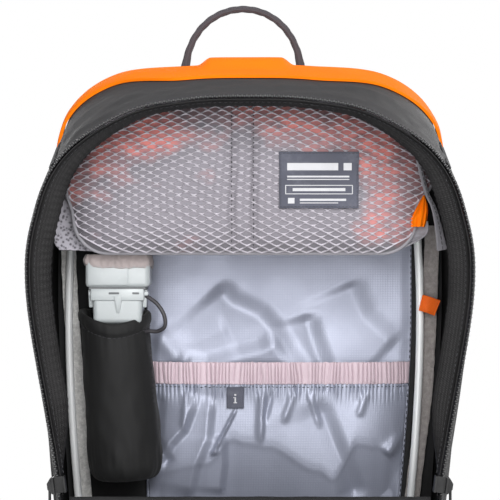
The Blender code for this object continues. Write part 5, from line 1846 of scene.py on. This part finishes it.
def strap_root(word, side, station):
    """Cloth yoke that carries the strap's top end from the back panel."""
    p, run, wide, out, half, thick = station
    low = Vector((p.x, BACK_Y + 0.0012, p.z - 0.028))
    path = smooth_path([
        low, low + Vector((0, 0.0016, 0.012)), Vector((p.x, 0.0890, p.z - 0.008)), Vector((p.x, 0.0965, p.z - 0.001)),
        p + run * 0.006, p + run * 0.014,
    ], 30)

    def point(i, u):
        t = i / 29
        reach = half + 0.010 * (1 - t) ** 2 - 0.0015
        lift = out * (thick / 2 + 0.0010) * smoothstep(0.55, 0.9, t)
        return path[i] + wide * (u * reach) + lift + Vector((0, 0.0006 * wobble(u * 9, t * 4, side), 0))

    yoke = surface(f"strap_yoke_{word}", grid(range(30), spread(-1, 1, 24), point), BLACK, thickness=0.0014)
    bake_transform(yoke)


def lower_webbing(word, side):
    """Webbing from the hip to the ladder lock, which turns with the strap at its upper end."""
    body = "shoulder_strap_" + word
    _, down, across, out = strap_frame(side, 0.95)
    lower = strap_path(side)[-1] + down * 0.0160
    anchor = mirrored((0.130, 0.0850, 0.130), side)
    path = smooth_path([
        lower, lower.lerp(anchor, 0.35) + Vector((0, 0.010, -0.006)),
        lower.lerp(anchor, 0.7) + Vector((0, 0.004, -0.008)), anchor,
        anchor + Vector((-0.006 * side, -0.0030, -0.014)),
    ], 70)
    strap = swept(f"lower_webbing_{word}", path, X_AXIS, 0.0200, 0.0016, WEB, power=4.0)
    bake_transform(strap)
    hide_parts("strap_webbing_" + word)
    tail = smooth_path([
        lower + out * 0.0040, lower + out * 0.0072 - down * 0.004, lower + out * 0.0085 + down * 0.014,
        lower + out * 0.0060 + down * 0.045, lower + out * 0.0070 + down * 0.078,
    ], 50)
    belt(f"strap_tail_{word}", tail, across, 0.0195, 0.0015, body)
    middle = anchor.x - 0.006 * side
    left, right = Vector((middle - 0.013, middle + 0.013))

    def patch(t, u):
        return Vector((left + (right - left) * u, BACK_Y + 0.0011 + 0.0004 * math.sin(math.pi * u), 0.122 - 0.024 * t))

    rows = grid(spread(0, 1, 10), spread(0, 1, 8), patch)
    place(surface(f"webbing_anchor_{word}", rows, BLACK, thickness=0.0016))


def sternum_straps():
    for word, side in SIDES:
        origin, down, across, out = strap_frame(side, 0.40)
        face = origin + out * 0.0100
        ends = ((0.004, 0), (-0.024, 0.003), (-0.043, 0.004))
        path = smooth_path([face + Vector((x * side, y, 0)) for x, y in ends], 40)
        body = "sternum_" + word
        belt(f"sternum_webbing_{word}", path, Z_AXIS, 0.0198, 0.0016, body, "sternum_strap_" + word)
        step = path[12] - path[11]
        keeper = swept(f"sternum_keeper_{word}", [path[11] + step * t for t in spread(0, 3.2, 6)], Z_AXIS, 0.0222,
                       0.0040, DARK_PLASTIC)
        place(keeper, body, "black_plastic")
        clip = assembled(f"sternum_clip_{word}", [
            block((-0.0080, -0.0125, 0.0076), (0.0080, 0.0125, 0.0092), 0.0006),
            block((-0.0090, -0.0120, 0.0066), (-0.0066, 0.0120, 0.0112), 0.0006),
            block((0.0066, -0.0120, 0.0066), (0.0090, 0.0120, 0.0112), 0.0006),
        ], DARK_PLASTIC, placed_at(origin, across, down, out))
        place(clip, body, "black_plastic")


def placed_at(origin, across, down, out):
    return Matrix.Translation(origin) @ Matrix((across, down, out)).transposed().to_4x4()


def release_handle():
    """The release handle in its pocket on the left strap."""
    body = "shoulder_strap_left"
    origin, down, across, out = strap_frame(-1, 0.66)
    turn = placed_at(origin, across, down, out)

    def point(t, u):
        dome = 0.0022 * (1 - u ** 4) * math.sin(math.pi * min(1, 0.12 + 0.80 * t))
        return turn @ Vector((0.0190 * u, -0.030 + 0.042 * t, 0.0078 + dome * 0.9 + 0.0003 * wobble(u * 6, t * 6)))

    rows = grid(spread(0, 1, 30), spread(-1, 1, 26), point)
    place(surface("handle_pocket_cloth", rows, BLACK, thickness=0.0010), body, "black_fabric", "handle_pocket")
    corners = ((-0.0172, 0.0105), (-0.0172, -0.0282), (0.0172, -0.0282), (0.0172, 0.0105))
    line = polyline([turn @ Vector((x, y, 0.0086)) for x, y in corners], 20)
    place(gather("handle_pocket_stitching", stitches(line, out), PALE_THREAD), body)
    rows = []
    for t in spread(0, 1, 60):
        waist = 0.0085 + 0.0032 * hump(0.0, 0.16, t) + 0.0034 * hump(1.0, 0.22, t) - 0.0010 * hump(0.45, 0.15, t)
        ribbed = smoothstep(0.3, 0.4, t) * (1 - smoothstep(0.75, 0.85, t))
        tall = 0.0030 + 0.0014 * hump(0.92, 0.18, t) + 0.0004 * math.sin(t * 60) * ribbed
        close = math.sqrt(max(0.02, 1 - (2 * t - 1) ** 10))
        section = rounded(32, waist * close, tall * close, 0.6, 0.7)
        rows.append([turn @ Vector((x, -0.0215 + 0.067 * t, 0.0153 + z)) for x, z in section])
    grip = surface("release_grip", rows, GRIP, looped=True, caps=True)
    place(grip, "release_handle", "orange_plastic", "release_handle")


def strap_fittings():
    sternum_straps()
    for node, name, make, body in (
        ("sternum_buckle_socket", "sternum_socket_shell", buckle_socket, "sternum_left"),
        ("sternum_buckle_plug", "sternum_plug_shell", buckle_plug, "sternum_right"),
        ("hip_buckle_socket", "hip_socket_shell", buckle_socket, "hip_wing_left"),
        ("hip_buckle_plug", "hip_plug_shell", buckle_plug, "hip_wing_right"),
    ):
        make(name, *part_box(node), body, node)
    release_handle()


def buckle_socket(name, low, high, body, node):
    """Female half of a side-release buckle: a notched shell with ribs on both faces."""
    size, middle = high - low, (low + high) / 2
    half_x, half_z = size.x / 2, size.z / 2
    outline = []
    for x, z in rounded(40, half_x, half_z, 0.35, 0.5):
        notch = 0.22 * half_z * hump(0.25 * half_x, 0.35 * half_x, x)
        outline.append((x, z - math.copysign(notch, z)))
    upright = Matrix.Translation(middle) @ Matrix.Rotation(math.pi / 2, 4, "X")
    shell_top = bevelled(name, outline, size.y * 0.96, DARK_PLASTIC, upright, bevel=min(0.0022, size.y * 0.25))
    place(shell_top, body, "black_plastic", node)
    tall = half_z * 0.45
    ribs = []
    for shift in (-0.22, 0.0, 0.22):
        x = middle.x + half_x * (0.10 + shift)
        for near, far in ((low.y - 0.0002, low.y + 0.0012), (high.y - 0.0012, high.y + 0.0002)):
            ribs.append(block((x - 0.0009, near, middle.z - tall), (x + 0.0009, far, middle.z + tall), 0.0004, 1))
    place(assembled(name + "_ribs", ribs, DARK_PLASTIC), body, "black_plastic")


def buckle_plug(name, low, high, body, node):
    """Male half: a frame with a webbing bar, and two sprung prongs round a tongue."""
    size, middle = high - low, (low + high) / 2
    left, right = low.x, high.x
    inner, rail = left + size.x * 0.45, size.z * 0.2
    parts = [
        block((inner, low.y, low.z), (right, high.y, low.z + rail), 0.0012),
        block((inner, low.y, high.z - rail), (right, high.y, high.z), 0.0012),
        block((inner, low.y, low.z + 0.001), (left + size.x * 0.62, high.y, high.z - 0.001), 0.0012),
        block((right - size.x * 0.14, low.y, low.z + 0.001), (right, high.y, high.z - 0.001), 0.0012),
    ]
    for start, end, off, deep, tall, bevel in (
        # all but the bevel as shares of the size
        (0.0, 0.5, 0.0, 0.25, 0.07, 0.0007),
        (0.10, 0.55, -0.33, 0.3, 0.07, 0.0008), (0.02, 0.2, -0.36, 0.32, 0.10, 0.0011),
        (0.10, 0.55, 0.33, 0.3, 0.07, 0.0008), (0.02, 0.2, 0.36, 0.32, 0.10, 0.0011),
    ):
        z = middle.z + size.z * off
        parts.append(block(
            (left + size.x * start, middle.y - size.y * deep, z - size.z * tall),
            (left + size.x * end, middle.y + size.y * deep, z + size.z * tall), bevel,
        ))
    place(assembled(name, parts, DARK_PLASTIC), body, "black_plastic", node)


def haul_loop():
    """Rolled webbing loop with flat stitched feet on the back panel."""
    half, rise = 0.0485, 0.0602
    path = []
    for a in spread(0, math.pi, 90):
        path.append(Vector((HAUL.x - half * math.cos(a), HAUL.y, HAUL.z + rise * math.sin(a) ** 0.85)))
    flare = [hump(0, 7, i) + hump(89, 7, i) for i in range(90)]
    loop = swept("haul_loop_webbing", path, REAR, [0.0056 - 0.0018 * f for f in flare],
                 [0.0056 + 0.0030 * f for f in flare], HAUL_WEB, power=2.4, sides=16,
                 lift=lambda i, x, y: 0.0002 * math.sin(i * 1.1 + x * 900))
    place(loop, "haul_loop", "rubber_cord", "haul_loop")
    threads = []
    for word, side in SIDES:
        x = HAUL.x + side * half
        foot = smooth_path([
            (x, HAUL.y + 0.0002, HAUL.z + 0.0060), (x, HAUL.y - 0.0008, HAUL.z - 0.001),
            (x - 0.001 * side, 0.0832, HAUL.z - 0.010), (x - 0.002 * side, 0.0822, HAUL.z - 0.034),
        ], 30)
        widths = [0.0070 + 0.0110 * smoothstep(2, 14, i) for i in range(30)]
        strap = swept(f"haul_foot_{word}", foot, X_AXIS, widths, 0.0026, HAUL_WEB, power=4.0)
        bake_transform(strap)
        box = ((-0.0065, -0.014), (0.0065, -0.014), (0.0065, -0.031), (-0.0065, -0.031), (-0.0065, -0.014),
               (0.0065, -0.031))
        corners = [Vector((x - 0.002 * side + dx, 0.0840, HAUL.z + dz)) for dx, dz in box]
        threads += stitches(polyline(corners, 12), REAR, thick=0.0005)
    return threads


def hip_wings():
    for word, side in SIDES:
        body = "hip_wing_" + word
        stations = hip_stations(side)
        threads = padded_band(
            body, stations, ("low", "high"), Z_AXIS, seam=0.0015, fold=(0.0012, 0.0030),
            edge=(0.0040, 0.0027, slice(1, -3)), row=(0.0080, -0.0007), facing=(8, 0.0007, 0.0250, 0.0016),
            facing_row=(0.0108, 0.0016),
        )
        place(gather(body + "_stitching", threads, PALE_THREAD), body)
        p, *_, h, _ = stations[2]

        def point(t, u):
            x = 0.0975 + (abs(p.x) - 0.0975) * smoothstep(0.2, 1.0, t)
            y = BACK_Y + 0.0016 + (p.y - BACK_Y - 0.0016 + 0.0005) * t ** 1.2
            z = p.z + u * (h + 0.003 * (1 - t) - 0.0015)
            return Vector((side * (x + 0.0012 * math.sin(t * 3.1) * (1 - u * u)), y, z))

        root = surface(f"hip_root_{word}", grid(spread(0, 1, 22), spread(-1, 1, 26), point), BLACK, thickness=0.0016)
        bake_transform(root)
        points = ((0.1300, 0.2300), (0.1268, 0.2338), (0.1050, 0.2500), (0.0750, 0.2600), (0.0460, 0.2630))
        path = smooth_path([mirrored((x, y, 0.093), side) for x, y in points], 60)
        belt(f"hip_belt_{word}", path, Z_AXIS, 0.0250, 0.0018, body, "hip_webbing_" + word)


# ---- CAD nodes that stay, with better materials --------------------------------------------
def repaint(name, material):
    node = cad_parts[name]
    node.data.materials.clear()
    node.data.materials.append(material)
    node.data.shade_smooth()
    node.data.set_sharp_from_angle(angle=math.radians(35))


def kept_parts():
    repaint("gas_cartridge", METAL)
    repaint("firing_pin", STEEL)
    for word, _ in SIDES:
        for part in ("zip_slider_", "zip_puller_", "ladder_lock_"):
            repaint(part + word, DARK_PLASTIC)
        low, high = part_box("zip_puller_" + word)
        x, y = (low.x + high.x) / 2, (low.y + high.y) / 2
        loop = ((0, 0.004), (-0.0016, -0.0015), (0, -0.0026), (0.0016, -0.0015), (0, 0.004))
        path = smooth_path([(x, y + dy, low.z + dz) for dy, dz in loop], 30)
        place(tube(f"puller_cord_{word}", path, 0.0007, WEB, sides=8), "zip_puller_" + word, "rubber_cord")


# ---- camera, light and floor ---------------------------------------------------------------
def stage():
    scene = bpy.context.scene
    camera = bpy.data.objects.new("camera", bpy.data.cameras.new("camera"))
    camera.location = (0.0, -1.72, 0.400)
    camera.rotation_euler = (math.radians(90), 0, 0)
    camera.data.lens = 155.7
    camera.data.sensor_width = 36.0
    scene.collection.objects.link(camera)
    scene.camera = camera
    scene.view_settings.view_transform = "Standard"

    mesh = bpy.data.meshes.new("floor")
    size = 1.6
    mesh.from_pydata([(-size, -size, 0), (size, -size, 0), (size, size, 0), (-size, size, 0)], [], [(0, 1, 2, 3)])
    look = Look("floor_pale")
    cloud = look.noise(3.0, 2.0)
    look.colour(look.mix(cloud, (0.80, 0.80, 0.80), (0.86, 0.86, 0.86)))
    look.roughness(cloud, 0.7, 0.85)
    mesh.materials.append(look.material)
    floor = bpy.data.objects.new("floor", mesh)
    floor.location.z = -0.0004
    scene.collection.objects.link(floor)

    world = bpy.data.worlds.new("studio")
    scene.world = world
    world.use_nodes = True
    nodes, links = world.node_tree.nodes, world.node_tree.links
    soft, bright = nodes["Background"], nodes.new("ShaderNodeBackground")
    for light, strength in ((soft, 0.45), (bright, 1.0)):
        light.inputs["Color"].default_value = (1.0, 1.0, 1.0, 1)
        light.inputs["Strength"].default_value = strength
    seen = nodes.new("ShaderNodeLightPath")
    both = nodes.new("ShaderNodeMixShader")
    links.new(seen.outputs["Is Camera Ray"], both.inputs[0])
    links.new(soft.outputs[0], both.inputs[1])
    links.new(bright.outputs[0], both.inputs[2])
    links.new(both.outputs[0], nodes["World Output"].inputs["Surface"])

    lamps = [
        # name, place, aimed at, size, watts
        ("key", (0.40, -2.20, 1.40), (0, 0, 0.33), 1.3, 47),
        ("fill", (-0.14, -2.40, 0.42), (0, 0, 0.33), 1.5, 36),
        ("top", (0.1, 0.1, 2.2), (0, 0, 0.45), 1.4, 14),
        ("rear_left", (-0.6, 2.6, 0.6), (0, 0, 0.35), 1.4, 34),
        ("rear_right", (1.4, 1.9, 0.9), (0, 0, 0.35), 1.4, 32),
    ]
    for name, position, aim, size, watts in lamps:
        light = bpy.data.lights.new(name, "AREA")
        light.shape = "DISK"
        light.size = size
        light.energy = watts
        lamp = bpy.data.objects.new(name, light)
        lamp.location = position
        lamp.visible_camera = False
        lamp.rotation_euler = (Vector(aim) - Vector(position)).to_track_quat("-Z", "Y").to_euler()
        scene.collection.objects.link(lamp)


stage()
dark_threads = shell()
cover_threads = release_cover()
tape_threads = zip_tape()
body_zip()
front_flap()
dark_threads += lower_front()
fold_strip()
lining_threads = lining() + pocket()
tag()
frame_parts()
pull_tab()
pouch_stitching = pouch()
pouch_stitching += label()
inflator()
collar_threads = collar()
sleeve_threads = sleeve()
cords()
dark_threads += back_panel()
back_pads()
shoulder_straps()
strap_fittings()
haul_threads = haul_loop()
hip_wings()
kept_parts()
for name, parts, material, slot in (
    ("shell_stitching", dark_threads, THREAD, "black_fabric"),
    ("tape_stitching", tape_threads, THREAD, "black_fabric"),
    ("cover_stitching", cover_threads, ORANGE, "orange_fabric"),
    ("lining_stitching", lining_threads, THREAD, "lining_nylon"),
    ("pouch_stitching", pouch_stitching, THREAD, "pouch_mesh"),
    ("collar_stitching", collar_threads, PALE_THREAD, "collar_fabric"),
    ("sleeve_stitching", sleeve_threads, THREAD, "neoprene"),
    ("haul_stitching", haul_threads, PALE_THREAD, "rubber_cord"),
):
    place(gather(name, parts, material), slot=slot)
